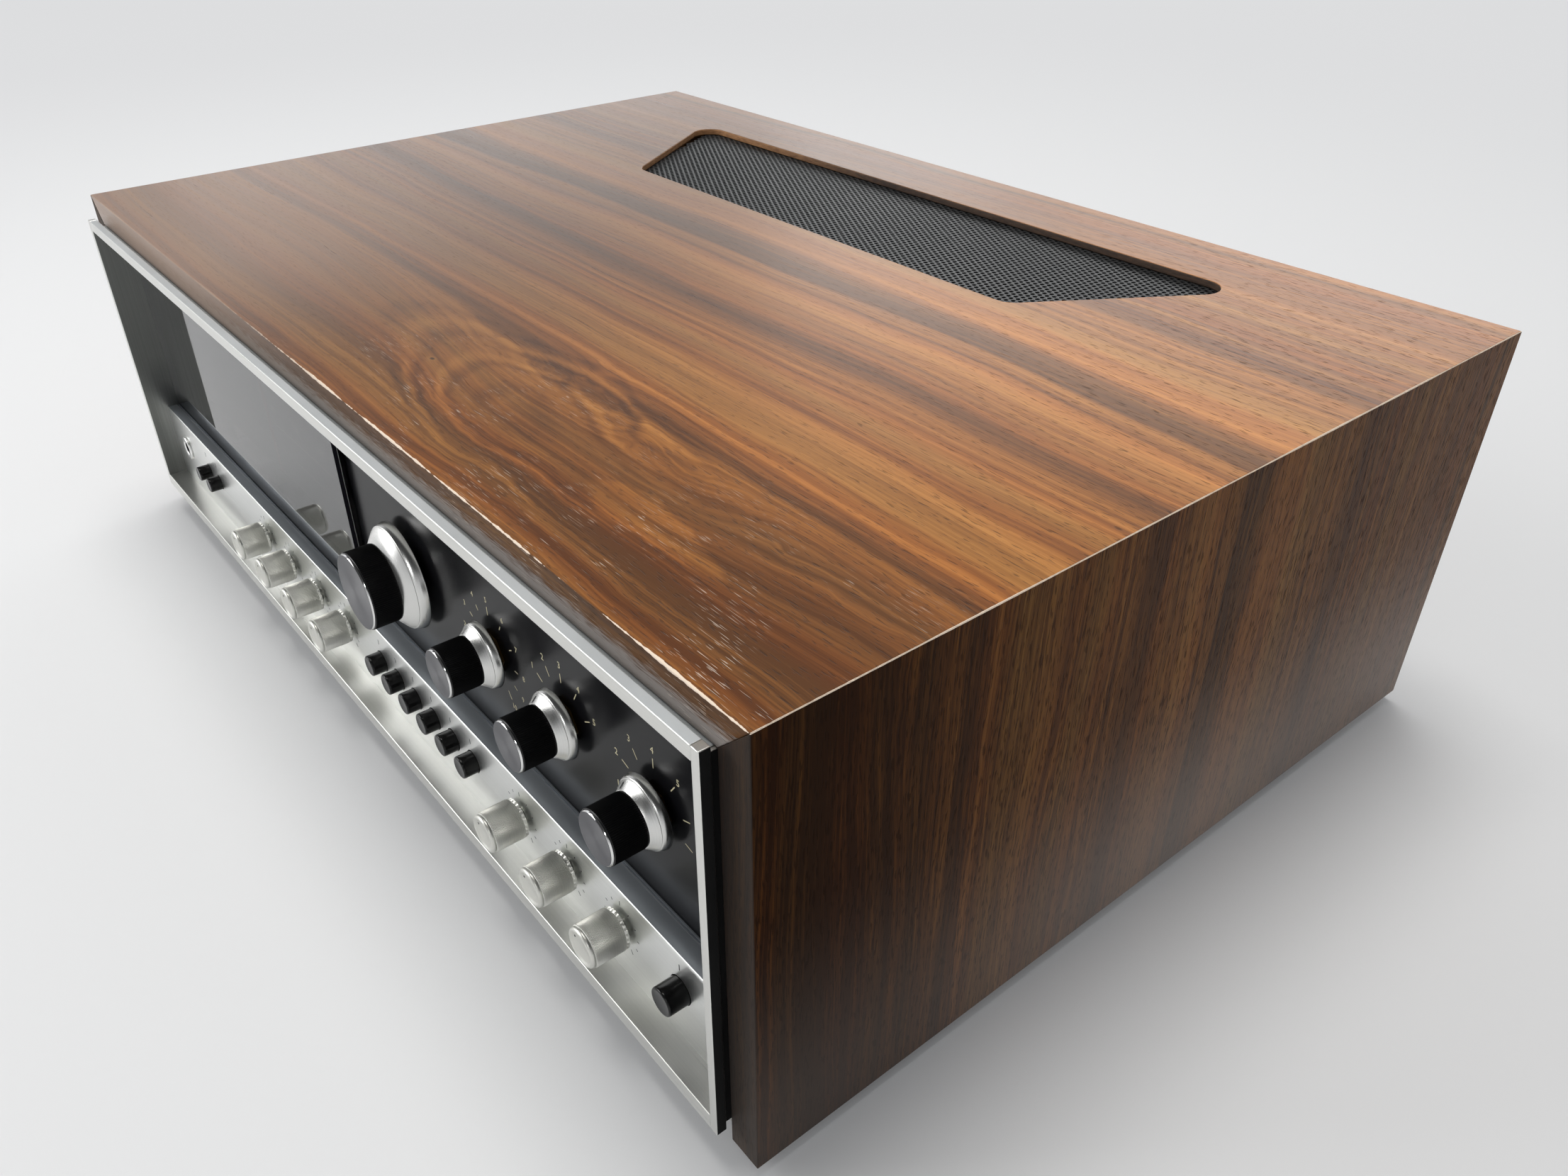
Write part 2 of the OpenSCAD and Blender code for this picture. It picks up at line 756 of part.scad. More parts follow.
module chassis() {
    slot_w = 4;
    slot_l = 60;
    slot_pitch = 14;
    color("lightgray") place() difference() {
        union() {
            block([-wood_x, floor_front, floor_rise], [wood_x, floor_back, floor_z]);
            for (x = [-wood_x, flange_x])
                block([x, sub_back, floor_rise], [x + sheet_t, rear_y, floor_z + flange_h]);
        }
        for (p = foot_places)
            translate([p[0], p[1], floor_rise - cut])
                  cylinder(h = sheet_t + 2 * cut, r = screw_r + bore_play);
        for (y = case_screw_ys) translate([-half_w, y, case_screw_z])
            rotate([0, 90, 0]) cylinder(h = cabinet_w, r = screw_r + bore_play);
        for (i = [-6:6])
            translate([i * slot_pitch - slot_w / 2, cabinet_d / 2 - slot_l / 2, floor_rise - cut])
                cube([slot_w, slot_l, sheet_t + 2 * cut]);
    }
}

// Depth of a foot's screw in its rubber
foot_bite = 6;

module feet() {
    taper = 2;
    color([0.12, 0.12, 0.12]) place() for (p = foot_places) difference() {
        translate([p[0], p[1], -stand_h])
            cylinder(h = stand_h + floor_rise, r1 = foot_d / 2 - taper, r2 = foot_d / 2);
        translate([p[0], p[1], floor_rise - foot_bite])
            cylinder(h = foot_bite + cut, r = screw_r + bore_play);
    }
}

// Ears of the aerial's hinge, bent out of the rear panel
module aerial_ears() for (s = [-1, 1]) {
    z = aerial_z + s * (knuckle_h / 2 + slip + ear_t / 2) - ear_t / 2;
    difference() {
        union() {
            translate([aerial_cx, aerial_y, z]) cylinder(h = ear_t, r = ear_r);
            block([aerial_cx - ear_r, rear_y, z], [aerial_cx + ear_r, aerial_y, z + ear_t]);
        }
        translate([aerial_cx, aerial_y, z - cut])
              cylinder(h = ear_t + 2 * cut, r = hinge_pin_r + shaft_play);
    }
}

module rear_panel() {
    color("darkgray") place() {
        difference() {
            block([-rear_x, rear_y, floor_z], [rear_x, rear_face, wood_z - fit]);
            for (p = rear_screws) bar(p[0], p[1], rear_y - cut, rear_face + cut, screw_r + bore_play);
        }
        aerial_ears();
    }
}

// Ferrite rod in its holder, with the trunnions of its hinge
module ferrite_aerial() {
    pin_l = knuckle_h + 2 * slip + 2 * ear_t;
    color([0.25, 0.22, 0.2]) place() translate([aerial_cx, aerial_y, aerial_z]) {
        rotate([0, -90, 0]) cylinder(h = aerial_l, r = aerial_r);
        translate([0, 0, -knuckle_h / 2]) cylinder(h = knuckle_h, r = ear_r);
        translate([0, 0, -pin_l / 2]) cylinder(h = pin_l, r = hinge_pin_r);
    }
}

module power_transformer() {
    foot_t = 3;
    core_d = transformer_d * 0.5;
    core_z = floor_z + foot_t;
    color("darkslategray") place() {
        block([transformer_x - transformer_span / 2, transformer_y, floor_z],
              [transformer_x + transformer_span / 2, transformer_y + transformer_d, core_z]);
        block([transformer_x - transformer_span / 2,
               transformer_y + (transformer_d - core_d) / 2, core_z],
              [transformer_x + transformer_span / 2, transformer_y + (transformer_d + core_d) / 2,
                    floor_z + transformer_h]);
        block([transformer_x - transformer_span / 3, transformer_y + 4, core_z],
              [transformer_x + transformer_span / 3, transformer_y + transformer_d - 4,
                    floor_z + transformer_h * 0.85]);
    }
}

module filter_capacitors() {
    color("steelblue") place() for (i = [0:1])
        translate([can_x + i * can_pitch, can_y, floor_z]) cylinder(h = can_h, r = can_r);
}

module heat_sink() {
    pitch = (sink_span - sink_fin_t) / (sink_fins - 1);
    color([0.2, 0.2, 0.2]) place() {
        block([sink_x - sink_span / 2, sink_y, floor_z],
              [sink_x + sink_span / 2, sink_y + sink_base_t, floor_z + sink_h]);
        for (i = [0:sink_fins - 1])
            translate([sink_x - sink_span / 2 + i * pitch, sink_y + sink_base_t, floor_z])
                cube([sink_fin_t, sink_fin_d, sink_h]);
    }
}

module power_transistors() {
    color("silver") place() for (i = [0:3]) for (j = [0:1]) {
        x = sink_x + (i - 1.5) * sink_span / 4;
        z = floor_z + sink_h * (0.3 + 0.4 * j);
        bar(x, z, sink_y - transistor_flange_t - transistor_l, sink_y - transistor_flange_t,
              transistor_r * 0.8);
        bar(x, z, sink_y - transistor_flange_t, sink_y, transistor_r);
    }
}

// A circuit board on four posts, with rows of small parts
module board(x0, y0, x1, y1, cans) {
    inset = 6;
    can = 9;
    for (x = [x0 + inset, x1 - inset]) for (y = [y0 + inset, y1 - inset])
        translate([x, y, floor_z]) cylinder(h = board_rise, r = post_board_r);
    block([x0, y0, board_z], [x1, y1, board_z + board_t]);
    for (i = [0:cans - 1]) for (j = [0:1])
        translate([x0 + (i + 0.5) * (x1 - x0) / cans - can / 2,
              y0 + (j + 0.5) * (y1 - y0) / 2 - can / 2, board_z + board_t])
            cube([can, can, can * (1 + (i + j) % 2)]);
}

module circuit_boards() {
    color("darkolivegreen") place() {
        board(board_edge - half_w, cap_y + cap_l + board_gap / 2,
              drum_cx - cap_half_w - 2 * board_gap, transformer_y - board_gap, 5);
        board(tuning_cx + 1.5 * board_gap, flywheel_y + 3 * board_gap,
              half_w - board_edge, board_split - board_gap, 6);
        board(drum_cx - board_gap, board_split + board_gap,
              half_w - board_edge, sink_y - 2.5 * board_gap, 8);
    }
}

module phono_jacks() {
    half_l = phono_cols * phono_pitch / 2;
    color("gainsboro") place() for (x = phono_blocks) {
        block([x - half_l, rear_face, phono_z - phono_pitch],
              [x + half_l, rear_face + phono_board_t, phono_z + phono_pitch]);
        for (i = [0:phono_cols - 1]) for (s = [-0.5, 0.5])
            bar(x + (i - (phono_cols - 1) / 2) * phono_pitch, phono_z + s * phono_pitch,
                rear_face + phono_board_t + fit, rear_face + phono_board_t + phono_l, phono_r);
    }
}

// A block of four screw terminals
module terminal_block(x, z) {
    block([x - terminal_w / 2, rear_face, z - terminal_h / 2],
          [x + terminal_w / 2, rear_face + terminal_d, z + terminal_h / 2]);
    for (i = [0:3])
        bar(x + (i - 1.5) * terminal_w / 4, z, rear_face + terminal_d,
              rear_face + terminal_d + terminal_head_l,
            terminal_head_r);
}

module terminal_strips() {
    color([0.15, 0.15, 0.15]) place() {
        for (x = terminal_xs) terminal_block(x, terminal_z);
        terminal_block(aerial_terminal_x, aerial_terminal_z);
    }
}

module mains_fittings() {
    color([0.15, 0.15, 0.15]) place() {
        bar(gland_x, gland_z, rear_face, rear_face + fitting_l, gland_r);
        bar(fuse_x, fuse_z, rear_face, rear_face + fitting_l, fuse_r);
        for (x = outlet_xs)
            block([x - outlet_w / 2, rear_face, outlet_z - outlet_h / 2],
                  [x + outlet_w / 2, rear_face + outlet_d, outlet_z + outlet_h / 2]);
    }
}

module fasteners() {
    shank_l = 5;
    color("silver") place() {
        for (p = foot_places) translate([p[0], p[1], floor_z]) {
            cylinder(h = screw_head_t, r = screw_head_r);
            translate([0, 0, -shank_l]) cylinder(h = shank_l, r = screw_r);
        }
        for (p = rear_screws) {
            bar(p[0], p[1], rear_face, rear_face + screw_head_t, screw_head_r);
            bar(p[0], p[1], rear_face - shank_l, rear_face, screw_r);
        }
        for (side = [-1, 1]) for (y = case_screw_ys) translate([side * flange_x, y, case_screw_z])
            rotate([0, side * 90, 0]) {
                translate([0, 0, -screw_head_t]) cylinder(h = screw_head_t, r = screw_head_r);
                cylinder(h = sheet_t + wood_bite - 1, r = screw_r);
            }
    }
}

// Black grip of a large knob, bored for its shaft
module grip(x, r, front, back) {
    color([0.08, 0.08, 0.08]) place() turned(x, knob_z, [
        [0, front], [r - knob_chamfer, front], [r, front + knob_chamfer], [r, back],
        [press_r, back], [press_r, front + knob_wall], [0, front + knob_wall]
    ]);
}

// Flared metal skirt behind a grip
module skirt(x, grip_radius, radius, rim, cone) {
    front = skirt_back - rim - cone;
    turned(x, knob_z, [
        [press_r, front], [grip_radius, front], [radius, front + cone],
        [radius, skirt_back], [press_r, skirt_back]
    ]);
}

module tuning_knob()
    grip(tuning_cx, tuning_r, control_y - tuning_reach, skirt_back - tuning_rim_w - tuning_cone_l);

module tuning_spindle() {
    front = control_y - tuning_reach + knob_wall;
    color("silver") place() {
        skirt(tuning_cx, tuning_r, tuning_skirt_r, tuning_rim_w, tuning_cone_l);
        bar(tuning_cx, knob_z, front, tuning_shaft_end, shaft_r);
        bar(tuning_cx, knob_z, cord_y - collar_l / 2, cord_y + collar_l / 2, collar_r);
        bar(tuning_cx, knob_z, flywheel_y, flywheel_y + flywheel_t, flywheel_r);
    }
}

module capacitor_rotor() {
    color("gold") place() {
        bar(drum_cx, drum_z, rotor_front, rotor_end, shaft_r);
        turned(drum_cx, drum_z, [
            [0, drum_y], [drum_r, drum_y], [drum_r, drum_y + drum_rim],
                  [drum_groove_r_h, drum_y + drum_rim],
            [drum_groove_r_h, drum_y + drum_t - drum_rim], [drum_r, drum_y + drum_t - drum_rim],
            [drum_r, drum_y + drum_t], [0, drum_y + drum_t]
        ]);
        for (i = [1:vanes]) {
            y = cap_y + cap_plate_t + i * vane_pitch - vane_t / 2;
            bar(drum_cx, drum_z, y, y + vane_t, hub_r);
            intersection() {
                bar(drum_cx, drum_z, y, y + vane_t, vane_r);
                block([drum_cx - vane_r, y, drum_z], [drum_cx + vane_r, y + vane_t, drum_z + vane_r]);
            }
        }
    }
}

module dial_pointer() {
    color("orangered") place() {
        block([pointer_x - pointer_w / 2, pointer_y, pointer_low],
              [pointer_x + pointer_w / 2, pointer_y + pointer_t, run_z - slip]);
        block([pointer_x - pointer_arm_w / 2, pointer_y, run_z - slip - pointer_arm_t],
              [pointer_x + pointer_arm_w / 2, cord_y + cord_t, run_z - slip]);
    }
}

// Grip and spindle of the three smaller front knobs
module front_grip(x) grip(x, grip_r, control_y - grip_reach, skirt_back - rim_w - cone_l);

module front_spindle(x) {
    color("silver") place() {
        skirt(x, grip_r, skirt_r, rim_w, cone_l);
        bar(x, knob_z, control_y - grip_reach + knob_wall, shaft_end, shaft_r);
    }
}

module volume_knob() front_grip(volume_cx);
module volume_spindle() front_spindle(volume_cx);
module mode_knob() front_grip(mode_cx);
module mode_spindle() front_spindle(mode_cx);
module selector_knob() front_grip(selector_cx);
module selector_spindle() front_spindle(selector_cx);

// A small knob with its own shaft
module small_knob(i) {
    x = small_xs[i];
    color("gainsboro") place() {
        turned(x, row_z, [
            [0, small_front], [small_r - knob_chamfer, small_front],
                  [small_r, small_front + knob_chamfer],
            [small_r, small_back], [press_r, small_back], [press_r, small_front + small_wall],
                  [0, small_front + small_wall]
        ]);
        bar(x, row_z, small_front + small_wall + fit, shaft_end, shaft_r);
    }
}

// A push button: a round cap on a thin stem
module button(i, reach) {
    color([0.05, 0.05, 0.05]) place() {
        bar(button_xs[i], row_z, lower_y - reach, cap_back, button_rs[i]);
        bar(button_xs[i], row_z, cap_back, stem_end, stem_r);
    }
}

module small_knob_1() small_knob(0);
module small_knob_2() small_knob(1);
module small_knob_3() small_knob(2);
module small_knob_4() small_knob(3);
module small_knob_5() small_knob(4);
module small_knob_6() small_knob(5);
module small_knob_7() small_knob(6);
module pair_button_1() button(0, button_reach);
module pair_button_2() button(1, button_reach);
module row_button_1() button(2, button_reach);
module row_button_2() button(3, button_reach);
module row_button_3() button(4, button_reach);
module row_button_4() button(5, button_reach);
module row_button_5() button(6, button_reach);
module row_button_6() button(7, button_reach);
module end_button() button(len(button_xs) - 1, end_button_reach);

cabinet_top();
cabinet_left_side();
cabinet_right_side();
vent_grille();
bezel_top();
bezel_bottom();
bezel_left();
bezel_right();
lower_panel();
ledge_strip();
control_panel();
dial_glass();
front_subpanel();
dial_scale();
dial_lamps();
dial_cord();
headphone_socket();
panel_bushes();
panel_controls();
push_switches();
tuning_capacitor();
chassis();
feet();
rear_panel();
ferrite_aerial();
power_transformer();
filter_capacitors();
heat_sink();
power_transistors();
circuit_boards();
phono_jacks();
terminal_strips();
mains_fittings();
fasteners();
tuning_knob();
tuning_spindle();
capacitor_rotor();
dial_pointer();
volume_knob();
volume_spindle();
mode_knob();
mode_spindle();
selector_knob();
selector_spindle();
small_knob_1();
small_knob_2();
small_knob_3();
small_knob_4();
small_knob_5();
small_knob_6();
small_knob_7();
pair_button_1();
pair_button_2();
row_button_1();
row_button_2();
row_button_3();
row_button_4();
row_button_5();
row_button_6();
end_button();
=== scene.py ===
"""Looks of a wood-cased hi-fi receiver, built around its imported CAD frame."""

from collections import namedtuple
import math

import bmesh
import bpy
from mathutils import Matrix, Vector


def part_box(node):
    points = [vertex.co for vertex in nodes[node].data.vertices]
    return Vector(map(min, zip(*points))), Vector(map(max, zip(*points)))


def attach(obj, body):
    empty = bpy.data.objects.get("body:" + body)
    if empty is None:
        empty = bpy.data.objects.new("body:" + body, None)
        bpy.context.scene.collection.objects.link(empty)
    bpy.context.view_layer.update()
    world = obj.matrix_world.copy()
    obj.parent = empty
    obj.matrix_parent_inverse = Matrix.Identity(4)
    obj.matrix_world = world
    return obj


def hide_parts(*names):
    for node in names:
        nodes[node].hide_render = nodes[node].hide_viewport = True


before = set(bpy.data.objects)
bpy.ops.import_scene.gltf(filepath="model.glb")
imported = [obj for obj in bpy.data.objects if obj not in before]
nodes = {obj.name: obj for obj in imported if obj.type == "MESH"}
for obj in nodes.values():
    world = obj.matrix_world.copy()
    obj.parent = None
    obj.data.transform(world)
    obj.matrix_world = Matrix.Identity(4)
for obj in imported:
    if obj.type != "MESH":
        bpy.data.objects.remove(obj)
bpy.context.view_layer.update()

# Places of the model, in millimetres from the cabinet's front and lower edges
MID_Y = 170.75
STAND = 5.0
CABINET_W = 520.0
CABINET_D = 349.0
CABINET_H = 162.4
KNOB_Z = 92.5
ROW_Z = 38.3
CONTROL_Y = 10.8
LOWER_Y = 3.0
GLASS_Y = 8.5
GLASS_RIGHT = 1.6
SKIRT_BACK = 8.3
SHAFT_R = 3.0
SHAFT_END = 20.3
SCALE_Y = 24.0
REAR_FACE = 337.5
LARGE_X = {"volume": 108.5, "mode": 154.0, "selector": 202.5}
TUNING_X = 46.8
SMALL_X = [-109 + 30.7 * i for i in range(4)] + [128.4 + 30.7 * i for i in range(3)]
BUTTON_STEP = 15.4
PAIR_X = [-191 + BUTTON_STEP * i for i in range(2)]
ROW_X = [16.4 + BUTTON_STEP * i for i in range(6)]
END_X = 221.0
SOCKET_X = -224.0
PRINT = 0.04
BODY = "receiver"


def mm(x, y, z):
    """A point of the model's millimetres in the frame's metres."""
    return Vector((x / 1000, (y - MID_Y) / 1000, (z + STAND) / 1000))


# Materials

class Tree:
    """A node tree, built step by step."""

    def __init__(self, tree):
        self.tree = tree

    def feed(self, socket, value):
        if isinstance(value, bpy.types.NodeSocket):
            self.tree.links.new(value, socket)
        else:
            socket.default_value = value

    def node(self, kind, inputs=(), **settings):
        node = self.tree.nodes.new(kind)
        for key, value in settings.items():
            setattr(node, key, value)
        for key, value in dict(inputs).items():
            self.feed(node.inputs[key], value)
        return node

    def calc(self, operation, *values):
        return self.node("ShaderNodeMath", dict(enumerate(values)), operation=operation).outputs[0]

    def plus(self, a, b):
        return self.calc("ADD", a, b)

    def minus(self, a, b):
        return self.calc("SUBTRACT", a, b)

    def times(self, a, b):
        return self.calc("MULTIPLY", a, b)

    def times_plus(self, a, b, c):
        return self.calc("MULTIPLY_ADD", a, b, c)

    def far(self, a, b):
        """The distance that two steps at right angles make."""
        return self.calc("SQRT", self.times_plus(a, a, self.times(b, b)))

    def split(self, vector):
        return self.node("ShaderNodeSeparateXYZ", {"Vector": vector}).outputs

    def join(self, x, y, z):
        return self.node("ShaderNodeCombineXYZ", {"X": x, "Y": y, "Z": z}).outputs[0]

    def span(self, value, low, high, to_low=0.0, to_high=1.0):
        """Maps a range to another, smoothly and held at its ends."""
        inputs = {"Value": value, "From Min": low, "From Max": high, "To Min": to_low, "To Max": to_high}
        return self.node("ShaderNodeMapRange", inputs, interpolation_type="SMOOTHSTEP").outputs[0]

    def seen(self):
        """1 for what the camera, metal and glass see, 0 for diffuse light."""
        path = self.node("ShaderNodeLightPath").outputs
        mirrored = self.calc("MAXIMUM", path["Is Glossy Ray"], path["Is Transmission Ray"])
        return self.calc("MAXIMUM", path["Is Camera Ray"], mirrored)


class Net(Tree):
    """A material around one Principled shader."""

    def __init__(self, name, colour, roughness, metallic=0.0, **sockets):
        self.mat = bpy.data.materials.new(name)
        self.mat.use_nodes = True
        super().__init__(self.mat.node_tree)
        self.bsdf = self.tree.nodes["Principled BSDF"]
        self.set("Base Color", (*colour, 1.0))
        self.set("Roughness", roughness)
        self.set("Metallic", metallic)
        for socket, value in sockets.items():
            self.set(socket.replace("_", " "), value)

    def set(self, socket, value):
        self.feed(self.bsdf.inputs[socket], value)

    def place(self):
        """X, Y and Z of the point in the piece's own space."""
        return self.split(self.node("ShaderNodeTexCoord").outputs["Object"])

    def noise(self, at, scale=1.0, detail=2.0, rough=0.5, key="Vector", dimensions="3D"):
        inputs = {key: at, "Scale": scale, "Detail": detail, "Roughness": rough}
        return self.node("ShaderNodeTexNoise", inputs, noise_dimensions=dimensions).outputs[0]

    def noise_line(self, at, scale, detail=2.0, rough=0.5):
        return self.noise(at, scale, detail, rough, "W", "1D")

    def ramp(self, value, stops):
        node = self.node("ShaderNodeValToRGB", {"Fac": value})
        elements = node.color_ramp.elements
        while len(elements) < len(stops):
            elements.new(0.5)
        for element, (at, colour) in zip(elements, stops):
            element.position = at
            element.color = (*colour, 1.0)
        return node.outputs[0]

    def mix(self, factor, a, b, blend="MIX"):
        node = self.node("ShaderNodeMix", data_type="RGBA", blend_type=blend)
        self.feed(node.inputs[0], factor)
        for socket, value in ((node.inputs[6], a), (node.inputs[7], b)):
            self.feed(socket, (*value, 1.0) if isinstance(value, tuple) else value)
        return node.outputs[2]

    def bump(self, height, distance, strength):
        node = self.node("ShaderNodeBump", {"Height": height, "Strength": strength, "Distance": distance})
        self.set("Normal", node.outputs[0])


# Places on the cabinet in metres
TOP_Z = (CABINET_H + STAND) / 1000
SIDE_X = CABINET_W / 2000
FRONT_Y = -MID_Y / 1000
BEZEL_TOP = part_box("bezel_top")[1].z
FIGURE_X, FIGURE_Y = 0.080, FRONT_Y + 0.043
FIGURE_LEFT, FIGURE_RIGHT, FIGURE_HALF = 0.080, 0.200, 0.030
FIGURE_TILT = -0.08
TONGUE_X, TONGUE_Y = 0.177, FRONT_Y + 0.034
TONGUE_REACH, TONGUE_HALF = 0.036, 0.0055
KNOT_X, KNOT_Y = 0.0327, FRONT_Y + 0.0382

# Where each line of the eye figure runs, its width and how much it lightens the wood
FIGURE_LINES = (
    (1.26, 0.16, -0.05), (1.0, 0.12, 0.075), (0.82, 0.10, -0.075), (0.52, 0.09, 0.07), (0.40, 0.07, -0.05),
    (0.12, 0.12, -0.04),
)
WOOD_TONES = (
    (0.32, (0.080, 0.033, 0.015)), (0.43, (0.160, 0.064, 0.022)), (0.50, (0.238, 0.096, 0.028)),
    (0.57, (0.322, 0.138, 0.040)), (0.68, (0.42, 0.196, 0.058)),
)
WOOD_HUES = ((0.36, (1.0, 0.90, 0.82)), (0.64, (0.95, 1.0, 0.96)))
Spot = namedtuple("Spot", "x y z along across")


def grain_top(net, x, y, z):
    """Along and across the grain of the top, which rolls over its front edge."""
    return x, net.plus(y, net.minus(z, TOP_Z))


def grain_right(net, x, y, z):
    """The top's grain, carried on down the right side."""
    return net.minus(SIDE_X + TOP_Z, z), net.plus(y, net.minus(x, SIDE_X))


def grain_left(net, x, y, z):
    """The top's grain, carried on down the left side."""
    return net.minus(z, SIDE_X + TOP_Z), net.minus(y, net.plus(x, SIDE_X))


def walnut(name, grain, wear_and_light_paints, painted_shade, weights, contrast, shine, fibres, pore_levels):
    """Walnut veneer with one eye figure. The wear list holds what is painted over it: wear and marks, and
    also painted shade, sheen, reflection and highlight. The shade factor darkens it all as painted shade,
    weights mix its broad tones, bands, lines and fibre, contrast spreads them, shine is the gloss of its
    varnish at the front, at a depth behind it, that depth and its lean to the left, and fibres and
    pore_levels set how fine and how porous it is."""
    net = Net(name, (0.2, 0.08, 0.03), 0.38, IOR=1.45, Specular_Tint=(1.0, 0.82, 0.66, 1.0))
    x, y, z = net.place()
    along, across = grain(net, x, y, z)
    front_shine, back_shine, depth, lean = shine
    behind = net.times_plus(x, -lean, y)
    net.set("Specular IOR Level", net.span(behind, FRONT_Y - 0.05, FRONT_Y + depth, front_shine, back_shine))

    def field(along_scale, across_scale, seed, over=across, detail=2.0, rough=0.5):
        place = net.join(net.times(along, along_scale), net.times(over, across_scale), seed)
        return net.noise(place, 1.0, detail, rough)

    def swayed(value, noise, amount):
        return net.times_plus(net.minus(noise, 0.5), amount, value)

    # Rings that sway, and swell round the eye figure
    ring = swayed(across, field(2.4, 8.0, 2.3), 0.036)
    ring = swayed(ring, field(11.0, 45.0, 4.1), 0.006)
    wavy = swayed(across, field(22.0, 40.0, 7.7, across, 3.0), 0.022)
    du = net.minus(along, FIGURE_X)
    dv = net.times_plus(du, -FIGURE_TILT, net.minus(wavy, FIGURE_Y))
    dv = net.times(dv, 1 / FIGURE_HALF)
    reach = net.calc("MAXIMUM", net.calc("DIVIDE", du, FIGURE_RIGHT), net.calc("DIVIDE", du, -FIGURE_LEFT))
    spread = net.times_plus(dv, dv, reach)
    swell = net.calc("EXPONENT", net.times(net.times(spread, spread), -1.2))
    ring = net.times_plus(swell, 0.016, ring)

    # Tone from the rings and the fibre
    broad = net.noise_line(net.plus(ring, 3.3), 24.0)
    bands = net.noise_line(net.plus(ring, 5.9), 85.0, 3.0, 0.6)
    thin = net.noise_line(net.plus(ring, 8.2), 360.0)
    fibre = field(*fibres, 6.6, ring, 3.0, 0.65)
    tone = net.times(broad, weights[0])
    for part, weight in zip((bands, thin, fibre), weights[1:]):
        tone = net.times_plus(part, weight, tone)
    tone = net.times_plus(tone, contrast, 0.5 - 0.5 * contrast)

    # Lines of the figure, the dark heart before it, a pale tongue and a golden front edge
    shown = net.span(along, FIGURE_X + 0.120, FIGURE_X + 0.02)
    shown = net.times(shown, net.span(field(13.0, 26.0, 11.3), 0.34, 0.62, 0.25, 1.2))
    for level, width, lift in FIGURE_LINES:
        off = net.calc("ABSOLUTE", net.minus(spread, level))
        tone = net.times_plus(net.times(net.span(off, width, 0.0), shown), lift, tone)
    heart = net.times(net.span(x, 0.0, 0.22), net.span(y, FRONT_Y + 0.10, FRONT_Y + 0.03))
    tone = net.times_plus(heart, -0.15, tone)
    tongue_u = net.times(net.minus(along, TONGUE_X), 1 / TONGUE_REACH)
    tongue_v = net.times(net.minus(wavy, TONGUE_Y), 1 / TONGUE_HALF)
    tongue = net.times_plus(tongue_u, tongue_u, net.times(tongue_v, tongue_v))
    tone = net.times_plus(net.span(tongue, 1.1, 0.6), 0.075, tone)
    golden = net.times(net.span(across, FRONT_Y + 0.0070, FRONT_Y + 0.0035), net.span(along, 0.07, 0.15))
    tone = net.times_plus(golden, 0.055, tone)

    # Colour, pores, wear and painted light
    # The shade factor scales every tone; below 1, on the sides, it is painted shade.
    colour = net.ramp(tone, [(at, tuple(c * painted_shade for c in tint)) for at, tint in WOOD_TONES])
    hue = net.ramp(net.noise_line(net.plus(ring, 1.7), 52.0, 1.0), WOOD_HUES)
    colour = net.mix(1.0, colour, hue, "MULTIPLY")
    pores = net.span(field(190.0, 1600.0, 9.2, across, 1.0), *pore_levels)
    pores = net.times(pores, net.span(along, 0.0, 0.36, 0.3, 1.0))
    colour = net.mix(net.times(pores, 0.65), colour, (0.020, 0.010, 0.006))
    for paint in wear_and_light_paints:
        colour = paint(net, colour, Spot(x, y, z, along, across))
    net.set("Base Color", colour)
    net.set("Roughness", net.times_plus(pores, 0.2, net.times_plus(fibre, 0.16, 0.23)))
    net.bump(net.times_plus(pores, -1.0, net.times(fibre, 0.35)), 0.00008, 0.4)
    return net.mat


def faded_top(net, colour, spot):
    """The top is darker towards its left end and lighter towards its right end."""
    return net.mix(1.0, colour, net.span(spot.x, -0.10, 0.20, 0.55, 1.36), "MULTIPLY")


def faded_side(net, colour, spot):
    """The sides are darker towards the front."""
    return net.mix(1.0, colour, net.span(spot.y, FRONT_Y - 0.02, FRONT_Y + 0.15, 0.62, 1.12), "MULTIPLY")


def hazy_foot(net, colour, spot):
    """Painted sheen: the right side is veiled in pale grey towards the bottom, more so towards the rear, as a
    painted reflection.
    """
    rear = net.span(spot.y, FRONT_Y + 0.05, FRONT_Y + 0.20, 0.15, 0.46)
    return net.mix(net.times(net.span(spot.z, 0.110, 0.0), rear), colour, (0.42, 0.385, 0.36))


def stained_front(shade_colour):
    """Painted shade: the front faces of the boards are darkened, for the shade on them."""

    def paint(net, colour, spot):
        return net.mix(net.span(spot.y, FRONT_Y + 0.00045, FRONT_Y + 0.0001, 0.0, 0.62), colour, shade_colour)

    return paint


def front_face(net, spot, cover=1.0):
    return net.span(spot.y, FRONT_Y + 0.0006, FRONT_Y + 0.0002, 0.0, cover)


def hazy_front(net, colour, spot):
    """Painted reflection: above the metal frame the front of the top is paled towards grey, fading upwards
    along the fibres.
    """
    strands = net.noise(net.join(net.times(spot.x, 150.0), 0.0, net.times(spot.z, 2200.0)))
    level = net.times_plus(net.minus(strands, 0.5), 0.011, spot.z)
    low = net.span(level, BEZEL_TOP + 0.55 * (TOP_Z - BEZEL_TOP), BEZEL_TOP)
    mask = net.times(net.times(front_face(net, spot), low), net.span(spot.x, -0.10, 0.12, 0.42, 0.60))
    return net.mix(mask, colour, (0.46, 0.44, 0.42))


def pale_corner(net, colour, spot):
    """Towards its left end the top is paler near the front, and its front face with it."""
    cover = net.plus(front_face(net, spot, 0.30), net.span(spot.y, FRONT_Y + 0.16, FRONT_Y, 0.0, 0.28))
    return net.mix(net.times(cover, net.span(spot.x, 0.03, -0.14)), colour, (0.50, 0.355, 0.275))


